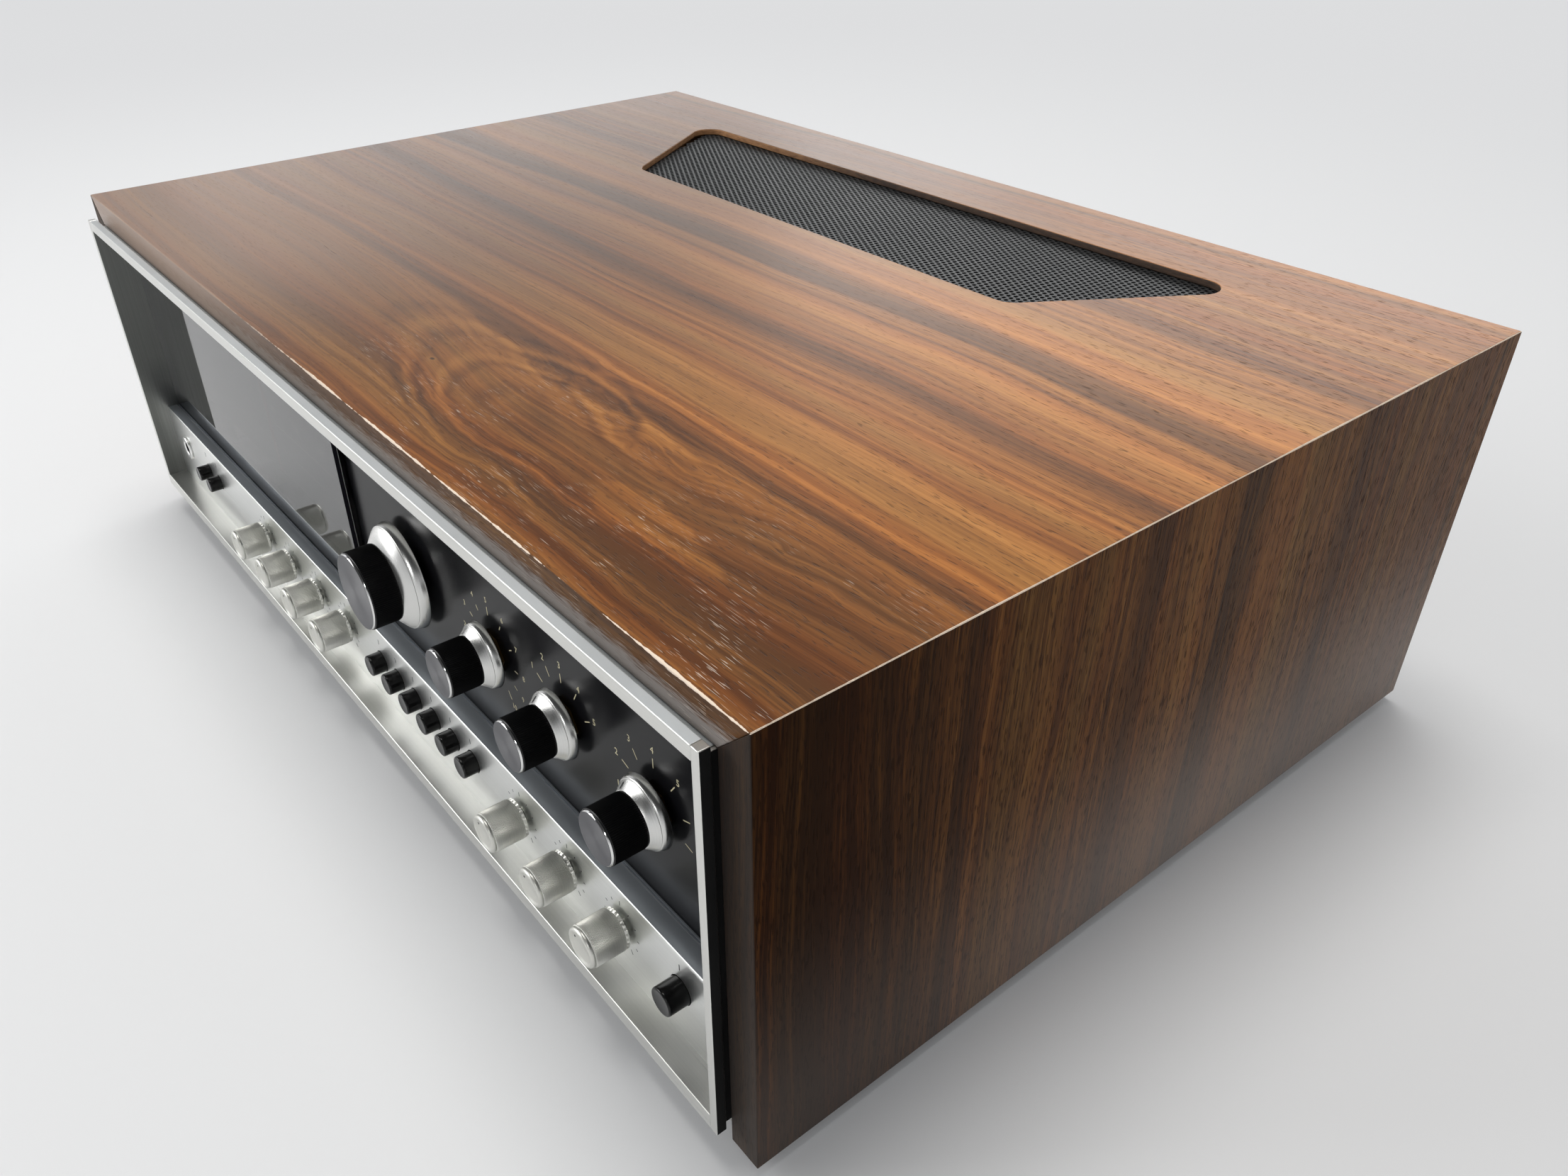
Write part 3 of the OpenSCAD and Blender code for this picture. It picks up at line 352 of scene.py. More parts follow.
def knot(net, colour, spot):
    """One small dark knot at the left of the eye figure."""
    far = net.far(net.minus(spot.x, KNOT_X), net.times(net.minus(spot.y, KNOT_Y), 1.7))
    colour = net.mix(net.span(far, 0.0032, 0.0016, 0.0, 0.3), colour, (0.30, 0.15, 0.05))
    return net.mix(net.span(far, 0.0016, 0.0007, 0.0, 0.85), colour, (0.02, 0.012, 0.008))


def worn_edge(edge, reach, cover, uneven, from_x=-0.9, to_x=-0.8):
    """A pale line where the finish has worn off an edge, and on the right edge also a painted highlight of
    its bevel; more or less uneven, stronger from one X on.
    """

    def paint(net, colour, spot):
        off = [net.calc("ABSOLUTE", net.minus(getattr(spot, axis), at)) for axis, at in edge.items()]
        ragged = net.noise(net.join(spot.x, spot.y, 3.0), 420.0)
        patch = net.noise(net.join(spot.x, spot.y, 5.0), 26.0, 3.0)
        width = net.span(patch, 0.35, 0.68, reach * (1 - 0.65 * uneven), reach * (1 + 0.7 * uneven))
        width = net.times_plus(net.minus(ragged, 0.5), reach * 1.6 * uneven, width)
        mask = net.span(net.minus(width, net.calc("MAXIMUM", *off)), 0.0, reach * 0.3)
        mask = net.times(mask, net.span(spot.x, from_x, to_x, cover * 0.06, cover))
        return net.mix(mask, colour, (0.86, 0.72, 0.58))

    return paint


def pale_flecks(net, colour, spot):
    """Short pale dashes in the pores, near the front and towards the right."""
    dash = net.noise(net.join(net.times(spot.along, 150.0), net.times(spot.across, 3600.0), 21.0), 1.0, 0.0)
    patch = net.noise(net.join(spot.x, spot.y, 8.0), 34.0)
    mask = net.times(net.span(dash, 0.71, 0.745), net.span(patch, 0.46, 0.62))
    mask = net.times(mask, net.span(spot.y, FRONT_Y + 0.085, FRONT_Y + 0.03))
    mask = net.times(mask, net.span(spot.x, -0.06, 0.09, 0.0, 0.6))
    return net.mix(mask, colour, (0.74, 0.64, 0.54))


def cut_wood(name):
    """Bare wood on the cut edge of the vent, tan at the left and darkened towards the right as painted shade.
    """
    net = Net(name, (0.3, 0.15, 0.06), 0.65)
    x, y, z = net.place()
    fine = net.noise(net.join(net.times(x, 300.0), net.times(y, 300.0), net.times(z, 1400.0)))
    tan = net.ramp(fine, [(0.35, (0.26, 0.12, 0.045)), (0.65, (0.44, 0.22, 0.09))])
    shaded_tone = net.ramp(fine, [(0.35, (0.035, 0.019, 0.011)), (0.65, (0.075, 0.040, 0.022))])
    # Painted shade: the right end of the cut edge takes the dark tone.
    net.set("Base Color", net.mix(net.span(x, -0.15, -0.02), tan, shaded_tone))
    net.set("Roughness", net.times_plus(fine, 0.2, 0.55))
    net.bump(fine, 0.0001, 0.5)
    return net.mat


def tinted(colour, factor):
    """A colour made darker or lighter, no channel past full."""
    return tuple(min(c * factor, 1.0) for c in colour)


def brushed(name, colour, roughness, along, depth=0.00001, metallic=1.0, streak=0.06):
    """Metal with a fine brushed grain along X, Y or Z."""
    net = Net(name, colour, roughness, metallic)
    place = net.place()
    scaled = [net.times(at, 9.0 if axis == along else 2600.0) for axis, at in zip("XYZ", place)]
    lines = net.noise(net.join(*scaled), 1.0, 2.0, 0.6)
    cloud = net.noise(net.join(*place), 14.0, 3.0)
    tones = [(0.3, tinted(colour, 1 - streak * 2.2)), (0.7, tinted(colour, 1 + streak))]
    net.set("Base Color", net.ramp(lines, tones))
    rough = net.times_plus(lines, 0.14, roughness - 0.10)
    net.set("Roughness", net.times_plus(cloud, 0.08, rough))
    net.bump(lines, depth, 0.5)
    return net.mat


def turned(name, colour, roughness, anisotropic):
    """Metal turned on a lathe about Y, with fine rings and a round sheen."""
    net = Net(name, colour, roughness, 1.0, Anisotropic=anisotropic)
    x, y, z = net.place()
    rings = net.noise_line(net.plus(net.far(x, z), net.times(y, 0.7)), 5200.0)
    net.set("Base Color", net.ramp(rings, [(0.3, tinted(colour, 0.86)), (0.65, colour)]))
    net.set("Roughness", net.times_plus(rings, 0.1, roughness - 0.05))
    if anisotropic:
        net.set("Tangent", net.node("ShaderNodeTangent", direction_type="RADIAL", axis="Y").outputs[0])
    net.bump(rings, 0.000006, 0.25)
    return net.mat


def moulded(name, colour, roughness, metallic=0.0, grain=900.0, depth=0.00002, vary=0.25, **sockets):
    """Paint or plastic with a faint texture and uneven gloss."""
    net = Net(name, colour, roughness, metallic, **sockets)
    vector = net.join(*net.place())
    cloud = net.noise(vector, 22.0, 3.0, 0.6)
    tones = [(0.35, tinted(colour, 1 - vary)), (0.65, tinted(colour, 1 + vary))]
    net.set("Base Color", net.ramp(cloud, tones))
    net.set("Roughness", net.times_plus(cloud, 0.14, roughness - 0.07))
    net.bump(net.noise(vector, grain), depth, 0.4)
    return net.mat


def flat_glass(name, colour, roughness, **sockets):
    """Glass with a faint haze of dust in its gloss."""
    net = Net(name, colour, roughness, **sockets)
    dust = net.noise(net.join(*net.place()), 60.0, 4.0, 0.7)
    net.set("Roughness", net.span(dust, 0.4, 0.8, roughness, roughness + 0.05))
    return net.mat


# Painted shade on the front faces: near black brown on the top board, dark grey on the sides.
top_front_shade = stained_front((0.016, 0.009, 0.006))
side_front_shade = stained_front((0.055, 0.050, 0.046))
front_worn = worn_edge({"y": FRONT_Y, "z": TOP_Z}, 0.00040, 0.95, 1.25, -0.10, 0.06)
# The right edge's pale line is partly real wear and partly a painted highlight of its lit bevel.
right_wear_and_highlight = worn_edge({"x": SIDE_X, "z": TOP_Z}, 0.00040, 1.0, 0.3)
left_worn = worn_edge({"x": -SIDE_X, "z": TOP_Z}, 0.00030, 0.6, 0.4)
# What is painted over the veneer: real wear, stains, a knot and flecks, and also painted shade, sheen,
# reflection and highlight.
TOP_WEAR_AND_LIGHT = (
    faded_top, top_front_shade, hazy_front, pale_corner, knot, pale_flecks, front_worn, right_wear_and_highlight, left_worn,
)
RIGHT_WEAR_AND_LIGHT = (faded_side, hazy_foot, side_front_shade, right_wear_and_highlight)
LEFT_WEAR_AND_LIGHT = (faded_side, side_front_shade, left_worn)
TOP_WOOD = {
    "painted_shade": 1.0, "weights": (0.30, 0.28, 0.16, 0.26), "contrast": 1.12, "shine": (0.14, 0.58, 0.26, 0.5),
    "fibres": (18.0, 1150.0), "pore_levels": (0.60, 0.69),
}
# The sides' shade factor of 0.42 is painted shade: it darkens their veneer for the shaded sides.
SIDE_WOOD = {
    "painted_shade": 0.42, "weights": (0.24, 0.18, 0.18, 0.40), "contrast": 1.45, "shine": (0.004, 0.045, 0.15, 0.0),
    "fibres": (24.0, 1150.0), "pore_levels": (0.55, 0.64),
}
SATIN = (0.73, 0.73, 0.70)
MATERIALS = {
    "top": walnut("walnut_top", grain_top, TOP_WEAR_AND_LIGHT, **TOP_WOOD),
    "right": walnut("walnut_right", grain_right, RIGHT_WEAR_AND_LIGHT, **SIDE_WOOD),
    "left": walnut("walnut_left", grain_left, LEFT_WEAR_AND_LIGHT, **SIDE_WOOD),
    "cut_wood": cut_wood("cut_wood"),
    "satin_x": brushed("satin_along", SATIN, 0.30, "X", 0.000004, streak=0.015),
    "satin_z": brushed("satin_upright", SATIN, 0.30, "Z", 0.000004, streak=0.015),
    # Painted shade and reflection: a dark copy of the satin metal for the left upright's flanks.
    "shaded_satin": brushed("satin_return_shaded", (0.28, 0.285, 0.275), 0.30, "Z", streak=0.05),
    # Painted shade: a darker, duller bluish copy of the satin metal for the frame's upper face.
    "matte_top_shaded": moulded("bezel_matte_shaded", (0.50, 0.525, 0.535), 0.5, 0.25, 1800.0, 0.00003, 0.06),
    # Painted shade and reflection: black for the right upright's flanks.
    "flank": moulded("flank_shaded_black", (0.010, 0.010, 0.010), 0.6, Specular_IOR_Level=0.05),
    "panel": brushed("brushed_panel", (0.90, 0.91, 0.89), 0.30, "X", streak=0.025),
    "ledge": moulded("ledge_paint", (0.40, 0.43, 0.46), 0.36, 0.68, vary=0.08),
    # Painted highlight: a lighter, non-metal copy of the ledge paint for the rounded rear lip.
    "ledge_lip_highlight": moulded("ledge_lip_highlight", (0.40, 0.41, 0.43), 0.40, vary=0.20, grain=500.0),
    # Painted shade: black without gloss for the strip at the glass's right end.
    "border": moulded("glass_border", (0.004, 0.004, 0.005), 0.6, Specular_IOR_Level=0.0),
    "black": moulded("panel_black", (0.005, 0.005, 0.006), 0.24, grain=2600.0, depth=0.000006, vary=0.2,
                     Specular_IOR_Level=0.11),
    "glass": flat_glass("smoked_glass", (0.16, 0.165, 0.175), 0.0, Transmission_Weight=1.0, IOR=1.5),
    "scale": moulded("scale_black", (0.012, 0.014, 0.018), 0.5),
    "cream": moulded("print_cream", (0.62, 0.56, 0.36), 0.5, vary=0.12),
    "dark_print": moulded("print_dark", (0.05, 0.05, 0.05), 0.5),
    "grip": moulded("grip_black", (0.006, 0.006, 0.0065), 0.34, vary=0.3, Specular_IOR_Level=0.3),
    "disc": turned("grip_disc", (0.12, 0.12, 0.13), 0.32, 0.7),
    "skirt": turned("skirt_metal", (0.74, 0.74, 0.72), 0.23, 0.85),
    "knurl": turned("knurled_metal", (0.74, 0.74, 0.69), 0.40, 0.0),
    "button": moulded("button_black", (0.006, 0.006, 0.006), 0.2, vary=0.3, Specular_IOR_Level=0.28),
    "ring": turned("socket_ring", (0.88, 0.88, 0.86), 0.30, 0.0),
    "chrome": turned("bright_ring", (0.86, 0.86, 0.85), 0.10, 0.3),
    "brass": turned("bush_brass", (0.62, 0.43, 0.16), 0.25, 0.3),
    # Painted shade: a darkened brass for the panel bushes, seen in the shaded gap behind the skirts.
    "shaded_brass": turned("nut_brass_shaded", (0.20, 0.13, 0.05), 0.42, 0.0),
    "rubber": moulded("foot_rubber", (0.018, 0.018, 0.018), 0.75, grain=1500.0, depth=0.00006),
    "zinc": brushed("zinc_steel", (0.60, 0.60, 0.57), 0.42, "X"),
    "rear": moulded("rear_paint", (0.05, 0.05, 0.052), 0.5, grain=1400.0, depth=0.00004),
    "plastic": moulded("black_plastic", (0.016, 0.016, 0.017), 0.45, grain=1800.0, depth=0.00003),
    "white": moulded("insulator_white", (0.72, 0.70, 0.64), 0.4, vary=0.06),
    "red": moulded("insulator_red", (0.42, 0.03, 0.025), 0.38, vary=0.12),
    # Black for the insides of holes, pockets and slots, standing for the shade in them: painted shade.
    "hole": moulded("dark_hole", (0.004, 0.004, 0.004), 0.8),
    "iron": moulded("transformer_iron", (0.04, 0.04, 0.045), 0.5, grain=500.0, depth=0.0002),
    "sleeve": moulded("can_sleeve", (0.03, 0.07, 0.16), 0.3, vary=0.15),
    "sink": brushed("sink_black", (0.035, 0.035, 0.037), 0.45, "Z", metallic=0.6),
    "board": moulded("board_laminate", (0.20, 0.12, 0.045), 0.45, grain=400.0, vary=0.3),
    "grille": moulded("grille_black", (0.017, 0.018, 0.019), 0.42, grain=1500.0),
    "lamp": moulded("lamp_white", (0.7, 0.68, 0.6), 0.3, vary=0.05),
    "cord": moulded("cord_cotton", (0.5, 0.44, 0.33), 0.8, grain=2200.0, depth=0.0001),
    "red_pointer": moulded("pointer_red", (0.55, 0.06, 0.02), 0.35, vary=0.1),
    "ferrite": moulded("ferrite_grey", (0.055, 0.052, 0.05), 0.55, grain=700.0, depth=0.00006),
}


# Meshes and pieces

def finish_mesh(bm, name, materials, angle=35):
    bmesh.ops.recalc_face_normals(bm, faces=bm.faces)
    mesh = bpy.data.meshes.new(name)
    bm.to_mesh(mesh)
    bm.free()
    for key in materials:
        mesh.materials.append(MATERIALS[key])
    mesh.polygons.foreach_set("use_smooth", [True] * len(mesh.polygons))
    mesh.set_sharp_from_angle(angle=math.radians(angle))
    return mesh


def put(name, data):
    """Adds an object to the scene."""
    obj = bpy.data.objects.new(name, data)
    bpy.context.scene.collection.objects.link(obj)
    return obj


def piece(name, mesh, body, replaced=(), at=(0, 0, 0), weighted=False):
    obj = put(name, mesh)
    obj.location = at
    if weighted:
        modifier = obj.modifiers.new("even_shading", "WEIGHTED_NORMAL")
        modifier.keep_sharp = True
    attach(obj, body)
    if replaced:
        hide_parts(*replaced)


def stand_in(bm, node, keys, body, angle=35, at=(0, 0, 0), weighted=False):
    """Finishes a shape as the piece that stands for a CAD node."""
    piece(node + "_look", finish_mesh(bm, node + "_mesh", keys, angle), body, (node,), at, weighted)


def add_on(bm, name, keys):
    """Finishes a shape as a piece that stands beside the CAD nodes, on the receiver."""
    piece(name, finish_mesh(bm, name + "_mesh", keys), BODY)


def dressed(node, key, width, body=BODY, segments=2, paint=None, keys=()):
    """A copy of a CAD node with its sharp edges rounded, which stands for the node. paint picks one of the
    materials for a face."""
    bm = bmesh.new()
    bm.from_mesh(nodes[node].data)
    bmesh.ops.remove_doubles(bm, verts=bm.verts, dist=1e-6)
    bmesh.ops.dissolve_limit(bm, angle_limit=math.radians(0.5), verts=bm.verts, edges=bm.edges)
    sharp = [e for e in bm.edges if len(e.link_faces) == 2 and e.calc_face_angle() > math.radians(30)]
    bmesh.ops.bevel(bm, geom=sharp, offset=width / 1000, segments=segments, profile=0.5, affect="EDGES",
                    clamp_overlap=True)
    for face in bm.faces:
        face.material_index = paint(face) if paint else 0
    stand_in(bm, node, (key, *keys), body, weighted=True)


def extent(node):
    """The two end corners of a CAD node's box."""
    spots = [v.co for v in nodes[node].data.vertices]
    return [Vector([pick(spot[i] for spot in spots) for i in range(3)]) for pick in (min, max)]


def add_hull(bm, spots, index=0):
    """Adds a closed box from eight corners, four round one end and then four round the other."""
    verts = [bm.verts.new(spot) for spot in spots]
    for loop in ((0, 1, 2, 3), (7, 6, 5, 4), (0, 4, 5, 1), (1, 5, 6, 2), (2, 6, 7, 3), (3, 7, 4, 0)):
        bm.faces.new([verts[i] for i in loop]).material_index = index


def add_box(bm, low, high, index=0):
    """Adds a closed box between two corners, in millimetres of the model."""
    (x0, y0, z0), (x1, y1, z1) = low, high
    ring = ((x0, z0), (x1, z0), (x1, z1), (x0, z1))
    add_hull(bm, [mm(x, y, z) for y in (y0, y1) for x, z in ring], index)


def add_lathe(bm, profile, segments, fluted=(), depth=0.0, index=0, offset=(0.0, 0.0, 0.0), marks=None,
              lobed=()):
    """Adds a shape turned about Y from radii and depths in millimetres. fluted lists the grooved points,
    lobed those cut into shallow lobes, and marks gives each ring of faces its material."""
    lobes, lobe_depth = 24, 0.2
    rings = []
    for number, (radius, y) in enumerate(profile):
        if radius == 0:
            rings.append([bm.verts.new(Vector((offset[0], y + offset[1], offset[2])) / 1000)])
            continue
        ring = []
        for i in range(segments):
            angle = 2 * math.pi * i / segments
            r = radius
            if number in fluted:
                r -= depth * (0.0, 0.7, 1.0, 0.7)[i % 4]
            if number in lobed:
                r -= lobe_depth * (0.5 - 0.5 * math.cos(lobes * angle))
            spot = Vector((r * math.sin(angle) + offset[0], y + offset[1], r * math.cos(angle) + offset[2]))
            ring.append(bm.verts.new(spot / 1000))
        rings.append(ring)
    for number, (a, b) in enumerate(zip(rings, rings[1:])):
        use = marks[number] if marks else index
        for i in range(segments):
            j = (i + 1) % segments
            if len(a) == 1:
                face = (a[0], b[i], b[j])
            elif len(b) == 1:
                face = (a[i], b[0], a[j])
            else:
                face = (a[i], b[i], b[j], a[j])
            bm.faces.new(face).material_index = use


def near(across, along, *steps):
    """Points of an outline, given by their steps from one place."""
    return [(across + step, along + rise) for step, rise in steps]


def close_ring(profile):
    """Ends a hollow turned profile where it began."""
    return [*profile, profile[0]]


def add_text(bm, text, size, x, z, y):
    """Adds thin plain figures that face the front, at a depth in millimetres of the model."""
    curve = bpy.data.curves.new("figures", "FONT")
    curve.body = text
    curve.size = size / 1000
    curve.extrude = PRINT / 1000
    curve.align_x = "CENTER"
    curve.align_y = "CENTER"
    curve.resolution_u = 2
    holder = put("figures", curve)
    depsgraph = bpy.context.evaluated_depsgraph_get()
    mesh = bpy.data.meshes.new_from_object(holder.evaluated_get(depsgraph))
    mesh.transform(Matrix.Rotation(math.radians(90), 4, "X"))
    mesh.transform(Matrix.Translation(mm(x, y, z)))
    bm.from_mesh(mesh)
    bpy.data.objects.remove(holder)
    bpy.data.curves.remove(curve)
    bpy.data.meshes.remove(mesh)


def add_tick(bm, x, z, angle, inner, outer, width, y, thick=PRINT):
    """Adds a thin printed dash that points away from a centre; angle 0 is up, and it grows clockwise."""
    side = Vector((math.cos(angle), 0, -math.sin(angle))) * width / 2
    out = Vector((math.sin(angle), 0, math.cos(angle)))
    spots = []
    for depth in (-thick, thick):
        for r, s in ((inner, -1), (inner, 1), (outer, 1), (outer, -1)):
            spot = out * r + side * s
            spots.append(mm(x + spot.x, y + depth, z + spot.z))
    add_hull(bm, spots)


# Wooden cabinet

def vent_wall(face):
    """The cut edge of the vent opening shows bare wood."""
    half_width, front, rear = 0.185, 0.05, 0.145
    centre = face.calc_center_median()
    inside = abs(centre.x) < half_width and front < centre.y < rear
    return 1 if inside and abs(face.normal.z) < 0.6 else 0


dressed("cabinet_top", "top", 0.5, paint=vent_wall, keys=("cut_wood",))
dressed("cabinet_right_side", "right", 0.4)
dressed("cabinet_left_side", "left", 0.4)


# Vent grille

def make_grille():
    """A sheet with staggered six-sided holes in columns, within the vent's outline and its rebate."""
    pitch, hole, sheet, chamfer, recess = 2.8, 1.0, 0.8, 0.12, 3.05
    step = pitch * math.sqrt(3) / 2
    cell = pitch / math.sqrt(3)
    top = CABINET_H - recess
    edge, foot = top - chamfer, top - sheet
    front_y, rear_y = CABINET_D - 119, CABINET_D - 40
    front_half, rear_half, lap = 128, 168, 4.0
    bm = bmesh.new()
    shared = {}

    def vert(x, y, z):
        key = (round(x, 3), round(y, 3), round(z, 3))
        if key not in shared:
            shared[key] = bm.verts.new(mm(x, y, z))
        return shared[key]

    def quad(a, b, ring_low, ring_high, z_low, z_high):
        bm.faces.new((vert(*ring_low[a], z_low), vert(*ring_low[b], z_low), vert(*ring_high[b], z_high),
                      vert(*ring_high[a], z_high)))

    turns = [math.radians(60 * k) for k in range(6)]
    columns = int((rear_half + lap) / step)
    for i in range(-columns, columns + 1):
        x = i * step
        shift = 0.5 * (i % 2)
        low = front_y - lap
        if abs(x) > front_half:
            low += (abs(x) - front_half) / (rear_half - front_half) * (rear_y - front_y)
        for j in range(int((rear_y + lap - low) / pitch)):
            y = rear_y + lap - (j + 0.5 + shift) * pitch
            outer = [(x + cell * math.cos(t), y + cell * math.sin(t)) for t in turns]
            inner = [(x + hole * math.cos(t), y + hole * math.sin(t)) for t in turns]
            for k in range(6):
                n = (k + 1) % 6
                quad(k, n, outer, inner, top, edge)
                quad(k, n, inner, inner, edge, foot)
                quad(k, n, inner, outer, foot, foot)
    rim = [e for e in bm.edges if len(e.link_faces) == 1]
    bmesh.ops.bridge_loops(bm, edges=rim)
    return finish_mesh(bm, "grille_mesh", ("grille",), 60)


piece("vent_grille_look", make_grille(), BODY, ("vent_grille",))


# Front frame and panels

def upper_face(face):
    """The upper face of the frame is blasted dull; its darker bluish grey is painted shade."""
    return 1 if face.normal.z > 0.95 else 0


def upright_return(face):
    """Painted shade and reflection: the flanks of the uprights are darker than their fronts, dark grey on the
    left upright and black on the right one.
    """
    return 1 if abs(face.normal.x) > 0.9 else 0


for part, key, paint, keys in (
    ("top", "satin_x", upper_face, ("matte_top_shaded",)), ("bottom", "satin_x", None, ()),
    ("left", "satin_z", upright_return, ("shaded_satin",)), ("right", "satin_z", upright_return, ("flank",)),
):
    dressed("bezel_" + part, key, 0.35, segments=3, paint=paint, keys=keys)
dressed("lower_panel", "panel", 0.2)


def make_ledge():
    """The ledge in two lengths, each with a rounded lip, lighter as a painted highlight, and a shadow groove
    before the panel above it.
    """
    low, high = extent("ledge_strip")
    middle = mm(GLASS_RIGHT, 0, 0).x
    bm = bmesh.new()
    for left, right, panel in ((low.x, middle, GLASS_Y), (middle, high.x, CONTROL_Y)):
        rear = mm(0, panel, 0).y
        outline = [
            (low.y, low.z), *near(low.y, high.z, (0, -0.0003), (0.0001, -0.0001), (0.0003, 0)),
            *near(rear, high.z, (-0.0012, 0), (-0.0009, -0.00006), (-0.0007, -0.00025), (-0.0007, -0.0009),
                  (-0.0001, -0.0009), (-0.0001, 0)),
            (high.y, high.z), (high.y, low.z),
        ]
        ends = [[bm.verts.new((x, y, z)) for y, z in outline] for x in (left, right)]
        for end in ends:
            bm.faces.new(end)
        count = len(outline)
        for i in range(count):
            j = (i + 1) % count
            face = bm.faces.new((ends[0][i], ends[0][j], ends[1][j], ends[1][i]))
            # The rounded lip, faces 4 and 5, takes the painted highlight.
            face.material_index = {0: 2, 1: 2, 2: 2, 4: 1, 5: 1}.get(i, 0)
    stand_in(bm, "ledge_strip", ("ledge", "ledge_lip_highlight", "panel"), BODY, 60)


def make_glass_border():
    """A black strip at the right end of the dial glass: painted shade, for the shadow of the glass's edge on
    the panel.
    """
    bottom, top = [corner.z * 1000 - STAND for corner in extent("dial_glass")]
    bm = bmesh.new()
    add_box(bm, (GLASS_RIGHT - 5.6, GLASS_Y - 0.03, bottom + 0.6),
            (GLASS_RIGHT - 0.45, GLASS_Y + 0.1, top - 0.6))
    add_on(bm, "glass_border", ("border",))


make_ledge()
make_glass_border()
dressed("control_panel", "black", 0.2)
dressed("dial_glass", "glass", 0.25)


# Printed marks

DIAL_ANGLES = [math.radians(-150 + 30 * i) for i in range(11)]


def control_marks():
    """Ticks and numbers round the volume, mode and selector knobs."""
    bm = bmesh.new()
    tick_in, tick_out, figure_out = 14.2, 17.6, 20.6
    x = LARGE_X["volume"]
    for i, angle in enumerate(DIAL_ANGLES):
        add_tick(bm, x, KNOB_Z, angle, tick_in, 17.4 if i % 5 == 0 else 16.2, 0.35, CONTROL_Y)
        add_text(bm, str(i), 3.0, x + 20.0 * math.sin(angle), KNOB_Z + 20.0 * math.cos(angle), CONTROL_Y)
    for name, angles, figures in (("mode", range(-60, 61, 30), "12345"),
                                  ("selector", range(-105, 106, 35), "1234567")):
        x = LARGE_X[name]
        for angle, figure in zip(map(math.radians, angles), figures):
            add_tick(bm, x, KNOB_Z, angle, tick_in, tick_out, 0.35, CONTROL_Y)
            add_text(bm, figure, 3.4, x + figure_out * math.sin(angle), KNOB_Z + figure_out * math.cos(angle),
                     CONTROL_Y)
    add_on(bm, "control_marks", ("cream",))


def lower_marks():
    """Ticks round the small knobs and over the buttons."""
    bm = bmesh.new()
    for x in SMALL_X:
        for i, angle in enumerate(DIAL_ANGLES):
            add_tick(bm, x, ROW_Z, angle, 8.6, 10.4 if i % 5 == 0 else 9.6, 0.3, LOWER_Y)
    for x in ROW_X + PAIR_X:
        add_tick(bm, x, ROW_Z, 0.0, 8.2, 10.4, 0.4, LOWER_Y)
    add_tick(bm, END_X, ROW_Z, 0.0, 8.6, 11.0, 0.4, LOWER_Y)
    add_on(bm, "lower_marks", ("dark_print",))


def scale_marks():
    """Two numbered bands and a plain one on the dial scale."""
    bm = bmesh.new()
    left, right, thick = -205.0, -38.0, 0.05
    plain_z = 72.0

    def at(part):
        return left + (right - left) * part

    def line(z, width):
        add_box(bm, (left, SCALE_Y - thick, z - width / 2), (right, SCALE_Y + thick, z + width / 2))

    for z, figures, minor in ((108.0, ("88", "92", "96", "100", "104", "108"), 4),
                              (84.0, ("54", "60", "70", "80", "100", "130", "160"), 3)):
        line(z, 0.35)
        last = len(figures) - 1
        for i in range(last * minor + 1):
            length = 4.2 if i % minor == 0 else 2.4
            add_tick(bm, at(i / (last * minor)), z, 0.0, 0.0, length, 0.3, SCALE_Y, thick)
        for i, figure in enumerate(figures):
            add_text(bm, figure, 5.0, at(i / last), z + 8.0, SCALE_Y)
    line(plain_z, 0.3)
    for i in range(11):
        add_tick(bm, at(i / 10), plain_z, 0.0, 0.0, 2.2, 0.3, SCALE_Y, thick)
    add_on(bm, "scale_marks", ("cream",))


control_marks()
lower_marks()
scale_marks()


# Large knobs

def make_grip(name, x, radius, front, back, flutes):
    """A fluted black grip with a spun metal cap on its front, whose rim is polished."""
    body = name.split("_")[0]
    at = mm(x, 0, KNOB_Z)
    seat = front + 0.9
    bm = bmesh.new()
    profile = [
        (0, seat - 0.3), *near(radius, seat, (-0.5, -0.3), (-0.35, -0.1), (-0.1, 0.15), (0, 0.4)),
        *near(radius, back, (0, -0.35), (-0.3, 0)), (0, back),
    ]
    add_lathe(bm, profile, flutes * 4, fluted=(4, 5), depth=0.28)
    stand_in(bm, name, ("grip",), body, 50, at)
    bm = bmesh.new()
    profile = [
        (0, front + 0.16), (radius * 0.4, front + 0.12),
        *near(radius, front, (-1.2, 0.04), (-0.85, 0), (-0.62, 0.06), (-0.35, 0.38), (-0.28, 0.6)),
        (radius - 0.55, seat - 0.28), (0, seat - 0.28),
    ]
    add_lathe(bm, profile, 160, marks=(0, 0, 0, 0, 1, 1, 0, 0))
    mesh = finish_mesh(bm, name + "_cap_mesh", ("disc", "chrome"), 30)
    piece(name + "_cap", mesh, body, (), at)


